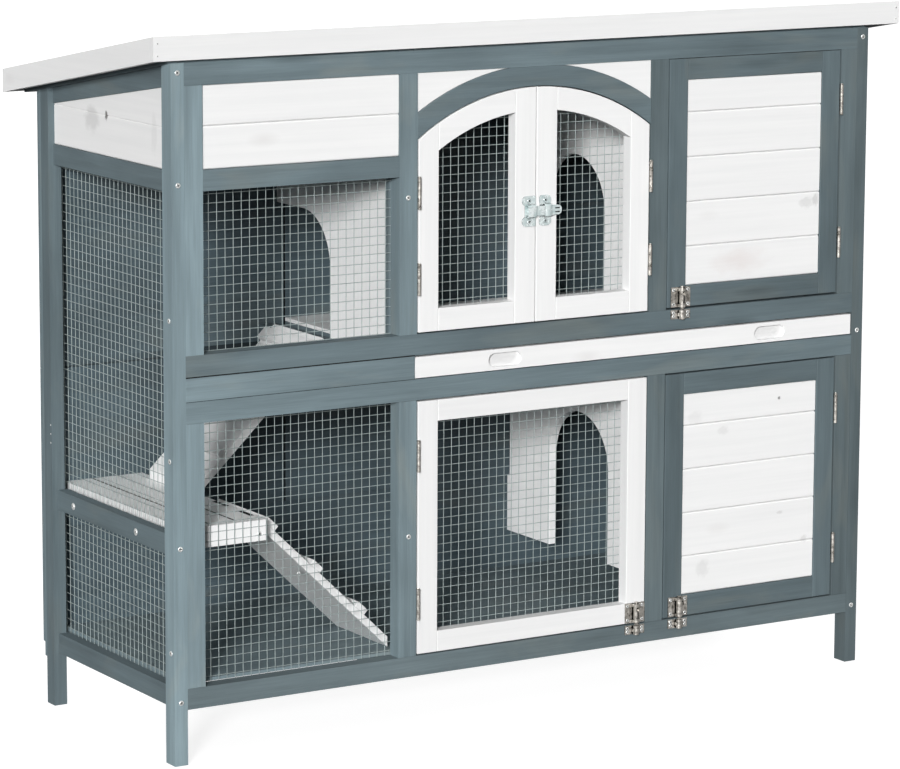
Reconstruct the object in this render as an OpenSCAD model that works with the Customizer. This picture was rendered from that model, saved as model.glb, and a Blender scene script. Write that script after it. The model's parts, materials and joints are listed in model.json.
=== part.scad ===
// Two-storey rabbit hutch: a framed timber body with arched mesh doors, a mesh door
// and two boarded doors, a pull-out floor tray, partitions, a rest platform, two
// ramps and a sloping felted roof.
//
// Millimetres. +X runs to the right, +Y to the back and +Z up. The origin is on the
// ground in the middle of the outline. Shapes are measured from the outer front
// corner of the left post, and in_frame() moves them to the origin.

/* [Body] */
// Width across the outer faces of the corner posts
body_w = 1169; // [1150:1:1190]
// Depth from the front face to the back of the rear legs
body_d = 403; // [395:1:420]
// Height of the front frame at its front face
front_h = 970; // [965:1:985]
// Height of the frame's underside above the ground
leg_h = 78; // [60:1:90]
// Thickness of the front frame timbers
frame_t = 24; // [22:1:26]
// Width of a front post
post_w = 20; // [18:1:22]
// Depth of a front post
post_d = 27; // [25:1:30]
// Depth of a rear leg
leg_d = 24; // [20:1:26]

/* [Front layout] */
// Width of the left stile
left_stile_w = 28; // [26:1:30]
// Width of the left bay
left_bay_w = 308.6; // [300:0.1:315]
// Width of the mullion between the left and middle bays
left_mullion_w = 29; // [27:1:31]
// Width of the mullion between the middle and right bays
right_mullion_w = 30; // [28:1:32]
// Width of the right stile
right_stile_w = 28.5; // [26:0.5:31]
// Width of the right bay
right_bay_w = 311.5; // [305:0.5:318]
// Height of a horizontal rail
rail_h = 30; // [28:0.5:31]
// Top of the lower front frame
lower_top = 507; // [500:1:510]
// Height of the tray bay between the two front frames
tray_bay_h = 34; // [32:1:36]
// Top of the rail under the upper left boards
board_rail_top = 823.8; // [815:0.2:830]

/* [Doors] */
// Thickness of a door frame
door_t = 20; // [18:1:22]
// Width of a door stile or rail
door_stile_w = 32.4; // [30:0.2:34]
// Width of the meeting stiles of the arched doors
meeting_stile_w = 34; // [32:1:35]
// Gap on the hinge side of a door
hinge_gap = 2.5; // [2.4:0.1:3]
// Gap on the free side of a door
free_gap = 2; // [1.8:0.1:2.6]
// Radius of the arched doors
arch_r = 326.4; // [324:0.1:327]
// Height of the centre of the arch
arch_z = 583.6; // [582:0.1:585]
// Thickness of a board
board_t = 9; // [7:1:10]
// Height of a full board in a solid door
door_board_h = 65.6; // [60:0.1:66]
// Height of the lowest board in a solid door
door_foot_board_h = 57.5; // [50:0.5:60]
// How far boards sit behind the face of their frame
board_inset = 2; // [1:0.5:4]
// Depth of the groove between boards
groove = 1.6; // [1:0.2:2]

/* [Wire mesh] */
// Pitch of the welded mesh, half an inch
mesh_pitch = 12.7; // [10:0.1:25.4]
// Diameter of a wire
wire_d = 1; // [0.9:0.1:1.4]
// How far a mesh laps onto its frame
mesh_lap = 8; // [5:1:10]

/* [Roof] */
// Fall of the roof towards the back, in degrees
roof_pitch = 10; // [9:0.5:11]
// Height of a fascia board
fascia_h = 33.4; // [30:0.2:34]
// Thickness of a fascia board
fascia_t = 12; // [10:1:14]
// Roof overhang on the left
roof_left = 28; // [24:1:32]
// Roof overhang on the right
roof_right = 53; // [45:1:60]
// Roof overhang at the front
roof_front = 5; // [4:1:8]
// Roof overhang behind the rear legs
roof_back = 65.5; // [60:0.5:70]
// Thickness of the roof deck
deck_t = 12; // [9:1:14]
// Thickness of the roofing felt
felt_t = 2; // [1.5:0.5:3]

/* [Inside] */
// Top of the bottom floor
floor_top = 112; // [110:1:114]
// Thickness of the bottom floor
floor_t = 5; // [4:1:6]
// Thickness of a partition
partition_t = 12; // [9:1:12]
// Radius of the arched doorways in the partitions
doorway_r = 80; // [70:1:85]
// Top of the rest platform
platform_top = 326; // [320:1:330]
// Thickness of the platform planks and of its edge board
plank_t = 12; // [10:1:14]
// Thickness of a ramp board
ramp_t = 11; // [9:1:12]
// Horizontal run of a ramp
ramp_run = 207.5; // [200:0.5:210]
// Rise of a ramp along that run
ramp_rise = 197.1; // [190:0.1:200]
// Width of a ramp
ramp_w = 147; // [140:1:150]

/* [Fittings] */
// Length of a hinge
hinge_l = 45; // [40:1:50]
// Radius of a hinge knuckle
knuckle_r = 2.5; // [2.3:0.1:2.6]
// Radius of a hinge pin
pin_r = 1; // [0.8:0.1:1.2]
// Running clearance of a hinge pin and of a bolt, on the radius
run_gap = 0.05; // [0.02:0.01:0.1]
// Radius of a barrel bolt's rod
rod_r = 3; // [2.5:0.1:3.2]
// Locking travel of a bolt
bolt_travel = 12; // [8:1:12]

/* [Hidden] */

// Colours
stain = "#64737a";
paint = "#eceeee";
dark_stain = "#4a565c";
zinc = "#c4c7c6";
wire = "#a9adad";
felt = "#3c4042";

// Gap left between timbers that butt together, and around anything that slides
seam = 0.2;
big = 2000;
$fn = 32;
arc_fn = 120;

// Front layout along X
left_x = post_w + left_stile_w;
left_mullion_x = left_x + left_bay_w;
middle_x = left_mullion_x + left_mullion_w;
right_stile_x = body_w - post_w - right_stile_w;
right_x = right_stile_x - right_bay_w;
right_mullion_x = right_x - right_mullion_w;
middle_w = right_mullion_x - middle_x;
arch_x = middle_x + middle_w / 2;

// Heights of the two front frames
lower_sill = leg_h + rail_h - 0.5;
lower_head = lower_top - rail_h;
upper_z = lower_top + tray_bay_h;
upper_sill = upper_z + rail_h;
upper_head = front_h - rail_h - 1;

// The mesh lies behind the front frame in two layers of wire
layer = wire_d + 0.1;
mesh_t = layer + wire_d;
behind_mesh = frame_t + mesh_t + 0.4;

// Rear wall: its inner face is the back of the rear legs
back_y = body_d;
lining_t = 6.3;
panel_t = 5.3;
panel_y = back_y + lining_t + 2 * seam;

// Side frames are set back from the posts
side_inset = 8;
side_t = 16;
side_y0 = post_d + seam;
side_y1 = back_y - leg_d - seam;
side_in = side_inset + side_t;
side_mid_z = 291;
side_board_z = 793;
side_groove_z = 880;
side_top_front = 936.5;
side_top_back = 881;

// Tray and the bearers that it slides on
tray_z = lower_top + 1.5;
tray_front_h = 30;
tray_panel_t = 5.5;
tray_top = tray_z + tray_front_h - 1;
bearer_top = lower_top + 1;
bearer_h = 24;
tray_x0 = middle_x + partition_t - 0.6;
tray_x1 = body_w - side_in - 1;
tray_y1 = back_y - 1;
batten_w = 18;
cross_x = 353;

// Roof planes: the timbers end at roof_z, the felt's top is roof_top
pitch = tan(roof_pitch);
roof_frame_h = 22.5;
roof_t = roof_frame_h + deck_t + felt_t;
roof_y0 = -roof_front;
roof_y1 = back_y + roof_back;
roof_x0 = -roof_left;
roof_x1 = body_w + roof_right;

// Outline of the whole hutch, for the origin
latch_reach = 16;
mid_x = (roof_x0 + roof_x1) / 2;
mid_y = (roof_y1 - latch_reach) / 2;

function roof_z(y) = front_h - y * pitch;
function roof_top(y) = roof_z(y) + roof_t;

// ---------------------------------------------------------------- helpers

module in_frame() translate([-mid_x, -mid_y, 0]) children();

// A box between low and high values along each axis
module span(x, y, z) {
    translate([x[0], y[0], z[0]])
        cube([x[1] - x[0], y[1] - y[0], z[1] - z[0]]);
}

// Runs a (Y, Z) outline along X
module along_x(x) {
    translate([x[0], 0, 0])
        rotate([90, 0, 90])
            linear_extrude(x[1] - x[0]) children();
}

// Runs an (X, Z) outline along Y
module along_y(y) {
    translate([0, y[1], 0])
        rotate([90, 0, 0])
            linear_extrude(y[1] - y[0]) children();
}

// A timber that stands at z0 and is cut to the roof's slope
module under_roof(x, y, z0) {
    along_x(x)
        polygon([[y[0], z0], [y[1], z0], [y[1], roof_z(y[1])], [y[0], roof_z(y[0])]]);
}

// A slab that follows the roof, between two heights above the timbers
module roof_slab(x, y, low, high) {
    along_x(x)
        polygon([[y[0], roof_z(y[0]) + low], [y[1], roof_z(y[1]) + low],
            [y[1], roof_z(y[1]) + high], [y[0], roof_z(y[0]) + high]]);
}

// Outline of a board with bevelled front edges, standing from b0 to b1
module board_outline(face, b0, b1, back) {
    dir = back > face ? 1 : -1;
    polygon([[face, b0 + groove], [face + dir * groove, b0], [back, b0],
        [back, b1], [face + dir * groove, b1], [face, b1 - groove]]);
}

// A stack of boards that run along X, between the heights in the list
module boards_along_x(x, y, edges) {
    for (i = [0 : len(edges) - 2])
        along_x(x)
            board_outline(y[0], edges[i] + seam / 2, edges[i + 1] - seam / 2, y[1]);
}

// A door frame of two full-height stiles and two rails between them
module door_frame(x, z, rail = door_stile_w) {
    inner = [x[0] + door_stile_w + seam, x[1] - door_stile_w - seam];
    span([x[0], x[0] + door_stile_w], [0, door_t], z);
    span([x[1] - door_stile_w, x[1]], [0, door_t], z);
    span(inner, [0, door_t], [z[0], z[0] + rail]);
    span(inner, [0, door_t], [z[1] - rail, z[1]]);
}

// Evenly spaced values at the mesh pitch, centred between two ends
function mesh_lines(a, b) =
    let (n = floor((b - a) / mesh_pitch), first = (a + b - n * mesh_pitch) / 2)
    [for (i = [0 : n]) first + i * mesh_pitch];

// One upright wire and one level wire
module upright_wire(x, y, z) {
    translate([x, y, z[0]]) cylinder(d = wire_d, h = z[1] - z[0], $fn = 16);
}

module level_wire(x, y, z) {
    translate([x[0], y, z])
        rotate([0, 90, 0]) cylinder(d = wire_d, h = x[1] - x[0], $fn = 16);
}

// A rectangular welded mesh that lies in the XZ plane behind y
module mesh_panel(x, z, y) {
    front = y + wire_d / 2 + 0.05;
    for (xi = mesh_lines(x[0], x[1])) upright_wire(xi, front, z);
    for (zi = mesh_lines(z[0], z[1])) level_wire(x, front + layer, zi);
}

// ------------------------------------------------------------ corner posts

screw_r = 1.8;
head_r = 3.6;
head_t = 1.4;
screw_l = 15;
post_mid = post_w / 2;
far_post_mid = body_w - post_w / 2;
// Screws through the front: X and Z of each
front_screws = [[post_mid, 957], [post_mid, 805], [post_mid, 305], [post_mid, 89],
    [far_post_mid, 956], [far_post_mid, 513], [far_post_mid, 88],
    [left_mullion_x + 14, 765], [left_mullion_x + 16, 282]];
// The sunk screw in the platform's edge board: X and Z
platform_screw = [148, 306];
// Screws through the left face of the front post: Y and Z of each
left_screws = [[9, 620], [10, 426], [10, 158]];
// Screws through the left middle rail: Y of each
rail_screws = [130, 327];
rail_screw_z = side_mid_z + 14;
nail_r = 0.8;
nail_head_r = 1.5;
nail_l = 9;
nail_rows = [roof_z(0) + 11, roof_z(0) + 28];

module screw(extra = 0) {
    translate([0, 0, -screw_l]) cylinder(r = screw_r + extra, h = screw_l + seam);
    if (extra == 0) translate([0, 0, 0.1]) cylinder(r = head_r, h = head_t);
}

module place_front_screws() {
    for (s = front_screws)
        translate([s[0], 0, s[1]]) rotate([90, 0, 0]) children();
}

module place_left_screws() {
    for (s = left_screws)
        translate([0, s[0], s[1]]) rotate([0, -90, 0]) children();
}

module place_rail_screws() {
    for (y = rail_screws)
        translate([side_inset, y, rail_screw_z]) rotate([0, -90, 0]) children();
}

module place_platform_screw() {
    translate([platform_screw[0], behind_mesh + head_t + seam, platform_screw[1]])
        rotate([90, 0, 0]) children();
}

module place_nails() {
    for (x = [roof_x0 + fascia_t / 2, roof_x1 - fascia_t / 2], z = nail_rows)
        translate([x, roof_y0, z]) rotate([90, 0, 0]) children();
}

module corner_posts() {
    color(stain) in_frame() difference() {
        union() {
            for (x = [0, body_w - post_w]) {
                under_roof([x, x + post_w], [0, post_d], 0);
                under_roof([x, x + post_w], [back_y - leg_d, back_y], 0);
            }
        }
        place_front_screws() screw(seam);
        place_left_screws() screw(seam);
    }
}

// ------------------------------------------------------------ front frames

module front_stiles(z) {
    for (x = [[post_w + seam, left_x], [left_mullion_x, middle_x],
            [right_mullion_x, right_x], [right_stile_x, body_w - post_w - seam]])
        span(x, [0, frame_t], z);
}

module front_rail(z) span([post_w + seam, body_w - post_w - seam], [0, frame_t], z);

module upper_front_frame() {
    color(stain) in_frame() difference() {
        union() {
            front_rail([upper_z + seam, upper_sill]);
            front_stiles([upper_sill + seam, upper_head - seam]);
            under_roof([post_w + seam, body_w - post_w - seam], [0, frame_t], upper_head);
            span([left_x + seam, left_mullion_x - seam], [0, frame_t],
                [board_rail_top - rail_h + 1, board_rail_top]);
        }
        place_front_screws() screw(seam);
    }
}

module lower_front_frame() {
    color(stain) in_frame() difference() {
        union() {
            front_rail([leg_h, lower_sill]);
            front_rail([lower_head, lower_top]);
            front_stiles([lower_sill + seam, lower_head - seam]);
        }
        place_front_screws() screw(seam);
    }
}

module filler_board() {
    color(stain) in_frame()
        span([post_w + seam, tray_front_x0 - 0.5], [0, frame_t],
            [lower_top + seam, upper_z]);
}

module upper_front_boards() {
    y = [board_inset, board_inset + board_t];
    color(paint) in_frame() {
        boards_along_x([left_x + seam, left_mullion_x - seam], y,
            [board_rail_top + seam, side_groove_z + 3, upper_head - seam]);
        along_y(y) difference() {
            translate([middle_x + seam, arch_z])
                square([middle_w - 2 * seam, upper_head - seam - arch_z]);
            translate([arch_x, arch_z]) circle(band_r + rail_h + seam, $fn = arc_fn);
        }
    }
}

// The curved grey rail over the arched doors
band_r = arch_r + 1.5;

module arch_header() {
    color(stain) in_frame() along_y([0, frame_t]) intersection() {
        difference() {
            translate([arch_x, arch_z]) circle(band_r + rail_h, $fn = arc_fn);
            translate([arch_x, arch_z]) circle(band_r, $fn = arc_fn);
        }
        translate([middle_x + seam, arch_z])
            square([middle_w - 2 * seam, upper_head - seam - arch_z]);
    }
}

module left_front_mesh() {
    color(wire) in_frame()
        mesh_panel([left_x - mesh_lap, left_mullion_x + mesh_lap],
            [lower_sill - mesh_lap, board_rail_top - rail_h + mesh_lap], frame_t);
}

// ------------------------------------------------------------------- sides

// The sloping top rail of a side frame
module side_top_rail(x) {
    along_x(x)
        polygon([[side_y0, side_top_front], [side_y1, side_top_back],
            [side_y1, roof_z(side_y1)], [side_y0, roof_z(side_y0)]]);
}

module side_rails(x, rows) {
    for (z = rows) span(x, [side_y0, side_y1], [z, z + rail_h - 1]);
    side_top_rail(x);
}

module left_side_frame() {
    color(stain) in_frame() difference() {
        side_rails([side_inset, side_in], [leg_h, side_mid_z, side_board_z]);
        place_rail_screws() screw(seam);
    }
}

function side_edge(y) = side_top_front - (y - side_y0)
    * (side_top_front - side_top_back) / (side_y1 - side_y0);

module left_side_boards() {
    face = side_inset + board_inset;
    low = side_board_z + rail_h - 1 + seam;
    color(paint) in_frame() {
        along_y([side_y0, side_y1])
            board_outline(face, low, side_groove_z - seam / 2, face + board_t);
        along_x([face, face + board_t])
            polygon([[side_y0, side_groove_z + seam / 2],
                [side_y1, side_groove_z + seam / 2],
                [side_y1, side_edge(side_y1) - seam],
                [side_y0, side_edge(side_y0) - seam]]);
    }
}

module left_side_mesh() {
    z = [lower_sill - mesh_lap, side_board_z + mesh_lap];
    y = [behind_mesh + seam, back_y - 1];
    x = side_in + wire_d / 2 + 0.05;
    color(wire) in_frame() {
        for (yi = mesh_lines(y[0], y[1])) upright_wire(x, yi, z);
        for (zi = mesh_lines(z[0], z[1]))
            translate([x + layer, y[0], zi])
                rotate([-90, 0, 0]) cylinder(d = wire_d, h = y[1] - y[0], $fn = 16);
    }
}

module right_side_frame() {
    color(stain) in_frame()
        side_rails([body_w - side_in, body_w - side_inset],
            [leg_h, lower_head, board_rail_top - rail_h]);
}

// Horizontal boards on the right, in three groups between the rails
module right_side_boards() {
    face = body_w - side_in + board_t;
    inner = body_w - side_in;
    rows = [[leg_h + rail_h - 1, lower_head, 6],
        [lower_head + rail_h - 1, board_rail_top - rail_h, 5]];
    color(stain) in_frame() {
        for (r = rows, i = [0 : r[2] - 1])
            let (h = (r[1] - r[0] - 2 * seam) / r[2], z = r[0] + seam + i * h)
                along_y([side_y0, side_y1])
                    board_outline(face, z + seam / 2, z + h - seam / 2, inner);
        along_x([inner, face])
            polygon([[side_y0, board_rail_top - 1 + seam],
                [side_y1, board_rail_top - 1 + seam],
                [side_y1, side_edge(side_y1) - seam],
                [side_y0, side_edge(side_y0) - seam]]);
    }
}

// -------------------------------------------------------------------- back

back_rail_low = 69;
lining_low = 257;
lining_gap = 2;
upper_lining_low = 674.7;
panel_low = 90;
panel_split_z = 494;
panel_split_x = 397;
recess_x = 785;

module back_frame() {
    y = [back_y + seam, back_y + seam + lining_t];
    color(stain) in_frame() {
        under_roof([0, post_w], y, back_rail_low);
        under_roof([body_w - post_w, body_w], y, back_rail_low);
        span([post_w + seam, body_w - post_w - seam], y,
            [back_rail_low, lower_sill - seam]);
        under_roof([post_w + seam, body_w - post_w - seam],
            [back_y - leg_d, back_y - seam], roof_z(back_y) - rail_h);
    }
}

// Outer panels, and a lining in columns; the last leaves a shallow recess low down
module back_panels() {
    y = [panel_y, panel_y + panel_t];
    columns = [[0, panel_split_x - seam / 2], [panel_split_x + seam / 2, body_w]];
    lining_y = [back_y + seam, back_y + seam + lining_t];
    left = [post_w + seam, panel_split_x - lining_gap / 2];
    middle = [panel_split_x + lining_gap / 2, recess_x];
    right = [recess_x + seam, body_w - post_w - seam];
    low = [lining_low, panel_split_z - lining_gap / 2];
    color(stain) in_frame() {
        for (x = columns) {
            span(x, y, [panel_low, panel_split_z - seam / 2]);
            under_roof(x, y, panel_split_z + seam / 2);
        }
        for (x = [left, [middle[0], right[1]]]) span(x, lining_y, low);
        for (x = [left, middle]) under_roof(x, lining_y, panel_split_z + lining_gap / 2);
        under_roof(right, lining_y, upper_lining_low);
    }
}

// -------------------------------------------------------------------- roof

rafter_w = 24;
rafters = [0, left_mullion_x + 2, right_mullion_x + 3, body_w - rafter_w];
roof_inner_y = [roof_y0 + fascia_t + seam, roof_y1 - fascia_t - seam];
roof_inner_x = [roof_x0 + fascia_t + seam, roof_x1 - fascia_t - seam];

module roof_frame() {
    low = seam;
    high = roof_frame_h - seam;
    back = panel_y + panel_t;
    color(stain) in_frame() {
        for (x = rafters)
            roof_slab([x, x + rafter_w], roof_inner_y, low, high);
        for (i = [0 : len(rafters) - 2])
            for (y = [[roof_inner_y[0], roof_inner_y[0] + rafter_w],
                    [back - rafter_w, back]])
                roof_slab([rafters[i] + rafter_w + seam, rafters[i + 1] - seam],
                    y, low, high);
    }
}

module roof_deck() {
    color(stain) in_frame()
        roof_slab(roof_inner_x, roof_inner_y, roof_frame_h, roof_frame_h + deck_t);
}

module roof_felt() {
    color(felt) in_frame()
        roof_slab(roof_inner_x, roof_inner_y, roof_frame_h + deck_t + seam,
            roof_frame_h + deck_t + felt_t);
}

module roof_fascias() {
    high = roof_t;
    low = roof_t - fascia_h;
    sides = [[roof_x0, roof_x0 + fascia_t], [roof_x1 - fascia_t, roof_x1]];
    ends = [[roof_y0, roof_y0 + fascia_t], [roof_y1 - fascia_t, roof_y1]];
    color(paint) in_frame() difference() {
        union() {
            for (y = ends) roof_slab([roof_x0, roof_x1], y, low, high);
            for (x = sides)
                roof_slab(x, [ends[0][1] + seam, ends[1][0] - seam], low, high);
        }
        place_nails() translate([0, 0, -nail_l]) cylinder(r = nail_r + seam, h = big);
    }
}

module frame_fasteners() {
    color(zinc) in_frame() {
        place_front_screws() screw();
        place_left_screws() screw();
        place_rail_screws() screw();
        place_platform_screw() screw();
        place_nails() {
            translate([0, 0, -nail_l]) cylinder(r = nail_r, h = nail_l + seam);
            translate([0, 0, 0.1]) cylinder(r = nail_head_r, h = 0.8);
        }
    }
}

// ------------------------------------------------------------------ inside

module floor_bearers() {
    y = [behind_mesh, back_y - seam];
    z = [leg_h + 2, floor_top - floor_t - seam];
    under = platform_top - plank_t - seam;
    color(stain) in_frame() {
        for (x = [side_in + 3, left_mullion_x, right_mullion_x, body_w - side_in - 20])
            span([x, x + batten_w + 1], y, z);
        difference() {
            for (y0 = [behind_mesh + plank_t + seam, back_y - batten_w - 1])
                span(platform_x, [y0, y0 + batten_w], [under - batten_w, under]);
            place_platform_screw() screw(seam);
        }
    }
}

module bottom_floor() {
    color(dark_stain) in_frame()
        span([side_in + 3, body_w - side_in - seam], [behind_mesh, back_y - seam],
            [floor_top - floor_t, floor_top]);
}

// Bearers that the tray slides on, and the rail that the upper ramp leans on
module tray_bearers() {
    z = [bearer_top - bearer_h, bearer_top];
    y = [frame_t + seam, back_y - leg_d - seam];
    left = [middle_x - 1.4, middle_x + 23];
    right = [body_w - side_in - 24, body_w - side_in - seam];
    color(stain) in_frame() {
        span(left, y, z);
        span(right, y, z);
        span([left[0], right[1]], [back_y - leg_d, back_y - seam], z);
        span([cross_x, middle_x - 1.8], [behind_mesh, back_y - seam],
            [lower_top, lower_top + bearer_h]);
    }
}

partition_1_x = middle_x - 1.6;
partition_2_x = right_mullion_x + 17;

module partition_battens() {
    depth = 14;
    y = [behind_mesh, behind_mesh + depth];
    color(stain) in_frame() {
        under_roof([left_mullion_x, partition_1_x - seam], y, upper_z);
        under_roof([right_mullion_x + 1, partition_2_x - seam], y, upper_z);
        span([right_mullion_x + 1, partition_2_x - seam], y,
            [floor_top + seam, lower_head]);
    }
}

// An arched doorway that opens downwards from z0
module doorway(y, spring, z0) {
    translate([y, spring]) circle(doorway_r, $fn = arc_fn);
    translate([y - doorway_r, z0]) square([2 * doorway_r, spring - z0]);
}

// A partition from the front to the lining, notched for the rail under the roof
module partition_sheet(z0) {
    y = [behind_mesh, back_y - seam];
    difference() {
        polygon([[y[0], z0], [y[1], z0], [y[1], roof_z(y[1]) - seam],
            [y[0], roof_z(y[0]) - seam]]);
        translate([back_y - leg_d - seam, roof_z(back_y) - rail_h - seam])
            square([big, big]);
    }
}

// The stretch of a partition that reaches past the lining, between two heights
module partition_tail(z) {
    translate([back_y - 2 * seam, z[0]]) square([lining_t + 2 * seam, z[1] - z[0]]);
}

module left_partition() {
    low = 530;
    spring = 632;
    jamb = 243.6;
    color(paint) in_frame() along_x([partition_1_x, partition_1_x + partition_t])
        difference() {
            partition_sheet(low);
            translate([jamb + doorway_r, spring]) circle(doorway_r, $fn = arc_fn);
            translate([jamb, 0]) square([2 * doorway_r, spring]);
            translate([jamb + doorway_r, 0]) square([big, spring + doorway_r]);
        }
}

module upper_right_partition() {
    low = 558;
    centre = 224.7;
    spring = 698;
    color(paint) in_frame() along_x([partition_2_x, partition_2_x + partition_t]) {
        difference() {
            partition_sheet(low);
            doorway(centre, spring, 0);
        }
        partition_tail([low, upper_lining_low - seam]);
    }
}

module lower_right_partition() {
    low = 168;
    centre = 208;
    spring = 308;
    color(paint) in_frame() along_x([partition_2_x, partition_2_x + partition_t]) {
        difference() {
            translate([behind_mesh, low])
                square([back_y - seam - behind_mesh, bearer_top - bearer_h - seam - low]);
            doorway(centre, spring, 0);
        }
        partition_tail([low, lining_low - seam]);
    }
}

// Rest platform: a front edge board and three planks, the last one notched
platform_x = [34, 158];

module platform() {
    planks = 3;
    pitch_x = (platform_x[1] - platform_x[0]) / planks;
    top = [platform_top - plank_t, platform_top];
    y = [behind_mesh + plank_t + seam, back_y - seam];
    notches = [[58.6, 93], [132, 171]];
    notch_w = 8;
    color(paint) in_frame() {
        difference() {
            span(platform_x, [behind_mesh, behind_mesh + plank_t],
                [platform_top - rail_h, platform_top]);
            place_platform_screw() {
                screw(seam);
                cylinder(r = head_r + seam, h = big);
            }
        }
        difference() {
            for (i = [0 : planks - 1])
                span([platform_x[0] + i * pitch_x + seam / 2,
                    platform_x[0] + (i + 1) * pitch_x - seam / 2], y, top);
            for (n = notches)
                span([platform_x[1] - notch_w, big], n, [0, big]);
        }
    }
}

// Ramps: boards with upright-cut ends, and cleats nailed across them
ramp_angle = atan(ramp_rise / ramp_run);
ramp_drop = ramp_t / cos(ramp_angle);
lower_ramp_x = platform_x[1] + 2.5;
lower_ramp_y = 50;
lower_ramp_low = floor_top + seam;
upper_ramp_x = cross_x - seam - ramp_run;
upper_ramp_y = 208;
upper_ramp_low = platform_top + seam;
cleat_w = 21;
cleat_t = 8.5;
cleat_pitch = 100;
cleat_first = 12;
cleats = 3;

// A ramp's outline, falling to the right from x = 0, with its foot at z = 0
module ramp_outline() {
    polygon([[0, ramp_rise], [0, ramp_rise + ramp_drop], [ramp_run, ramp_drop],
        [ramp_run, 0]]);
}

// The cleats of the same ramp, on its upper face
module cleat_outlines() {
    for (i = [0 : cleats - 1])
        translate([0, ramp_rise + ramp_drop])
            rotate(-ramp_angle)
                translate([cleat_first + i * cleat_pitch, seam / 2])
                    square([cleat_w, cleat_t]);
}

module place_lower_ramp() {
    translate([lower_ramp_x, 0, lower_ramp_low])
        along_y([lower_ramp_y, lower_ramp_y + ramp_w]) children();
}

module place_upper_ramp() {
    translate([upper_ramp_x + ramp_run, 0, upper_ramp_low])
        mirror([1, 0, 0])
            along_y([upper_ramp_y, upper_ramp_y + ramp_w]) children();
}

module lower_ramp() color(paint) in_frame() place_lower_ramp() ramp_outline();

module upper_ramp() color(paint) in_frame() place_upper_ramp() ramp_outline();

module ramp_cleats() {
    color(paint) in_frame() {
        place_lower_ramp() cleat_outlines();
        place_upper_ramp() cleat_outlines();
    }
}

// ------------------------------------------------------------------ hinges

knuckles = 5;
axis_y = -3.2;
leaf_gap = 0.2;
leaf_t = 1;
leaf_w = 20;
leaf_start = knuckle_r + 0.3;
left_axis = middle_x + hinge_gap / 2;
arch_right_axis = right_mullion_x - hinge_gap / 2;
right_axis = right_stile_x - hinge_gap / 2;

// Heights of the lower ends of each door's two hinges
arch_hinges = [626, 748];
mesh_door_hinges = [160, 374];
upper_solid_hinges = [627, 842];
lower_solid_hinges = [160, 375];

// One hinge leaf on its axis: side is -1 or 1, and own lists its knuckles
module hinge_leaf(side, own) {
    step = hinge_l / knuckles;
    x0 = side > 0 ? leaf_gap : -leaf_gap - leaf_t;
    difference() {
        union() {
            for (k = own) {
                translate([0, 0, k * step + seam / 2])
                    cylinder(r = knuckle_r, h = step - seam);
                translate([x0, 0, k * step + seam / 2])
                    cube([leaf_t, leaf_start + 1, step - seam]);
            }
            translate([x0, leaf_start, 0]) cube([leaf_t, leaf_w - leaf_start, hinge_l]);
        }
        translate([0, 0, -1]) cylinder(r = pin_r + run_gap, h = hinge_l + 2);
    }
}

// Places hinges on a door's axis at the given heights
module at_hinges(x, heights) {
    for (z = heights) translate([x, axis_y, z]) children();
}

module frame_leaf(side) hinge_leaf(side, [0, 2, 4]);

module door_leaf(side) hinge_leaf(side, [1, 3]);

module hinge_pin() {
    translate([0, 0, -0.4]) cylinder(r = pin_r, h = hinge_l + 0.8);
    translate([0, 0, hinge_l + seam]) cylinder(r = knuckle_r - 0.6, h = 1.2);
}

module hinge_frame_leaves() {
    color(zinc) in_frame() {
        at_hinges(left_axis, concat(arch_hinges, mesh_door_hinges)) frame_leaf(-1);
        at_hinges(arch_right_axis, arch_hinges) frame_leaf(1);
        at_hinges(right_axis, concat(upper_solid_hinges, lower_solid_hinges))
            frame_leaf(1);
    }
}

module hinge_pins() {
    color(zinc) in_frame() {
        at_hinges(left_axis, concat(arch_hinges, mesh_door_hinges)) hinge_pin();
        at_hinges(arch_right_axis, arch_hinges) hinge_pin();
        at_hinges(right_axis, concat(upper_solid_hinges, lower_solid_hinges))
            hinge_pin();
    }
}

// ----------------------------------------------------------------- latches

latch_w = 34;
latch_base_l = 29.5;
keeper_l = 13.5;
keeper_gap = 4;
plate_t = 1.5;
barrel_r = 4.3;
barrel_y = -plate_t - barrel_r + 0.5;
tip_gap = 0.5;
stem_r = 1.5;
stem_z = 20;
knob_r = 3;
knob_l = 4;
rod_top = latch_base_l + 2;
slot_w = 3.6;

// A plate with a barrel along it, standing from z0, with the rod's bore through it
module barrel_plate(z0, h) {
    difference() {
        union() {
            span([-latch_w / 2, latch_w / 2], [-plate_t, 0], [z0, z0 + h]);
            translate([0, barrel_y, z0]) cylinder(r = barrel_r, h = h);
        }
        translate([0, barrel_y, z0 - 1]) cylinder(r = rod_r + run_gap, h = h + 2);
    }
}

// The base of an upright barrel bolt: its knob's slot faces the given direction
module latch_base(turn) {
    difference() {
        barrel_plate(0, latch_base_l);
        translate([0, barrel_y, 0]) rotate(turn)
            span([0, 2 * barrel_r], [-slot_w / 2, slot_w / 2],
                [stem_z - bolt_travel - slot_w / 2, latch_base_l + 1]);
    }
}

module latch_keeper() barrel_plate(-keeper_gap - keeper_l, keeper_l);

module latch_bolt(turn) {
    translate([0, barrel_y, 0]) {
        translate([0, 0, tip_gap - keeper_gap])
            cylinder(r = rod_r, h = rod_top + keeper_gap - tip_gap);
        translate([0, 0, stem_z]) rotate(turn) rotate([0, 90, 0]) {
            cylinder(r = stem_r, h = latch_reach + barrel_y);
            translate([0, 0, latch_reach + barrel_y - knob_l])
                cylinder(r = knob_r, h = knob_l);
        }
    }
}

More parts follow.
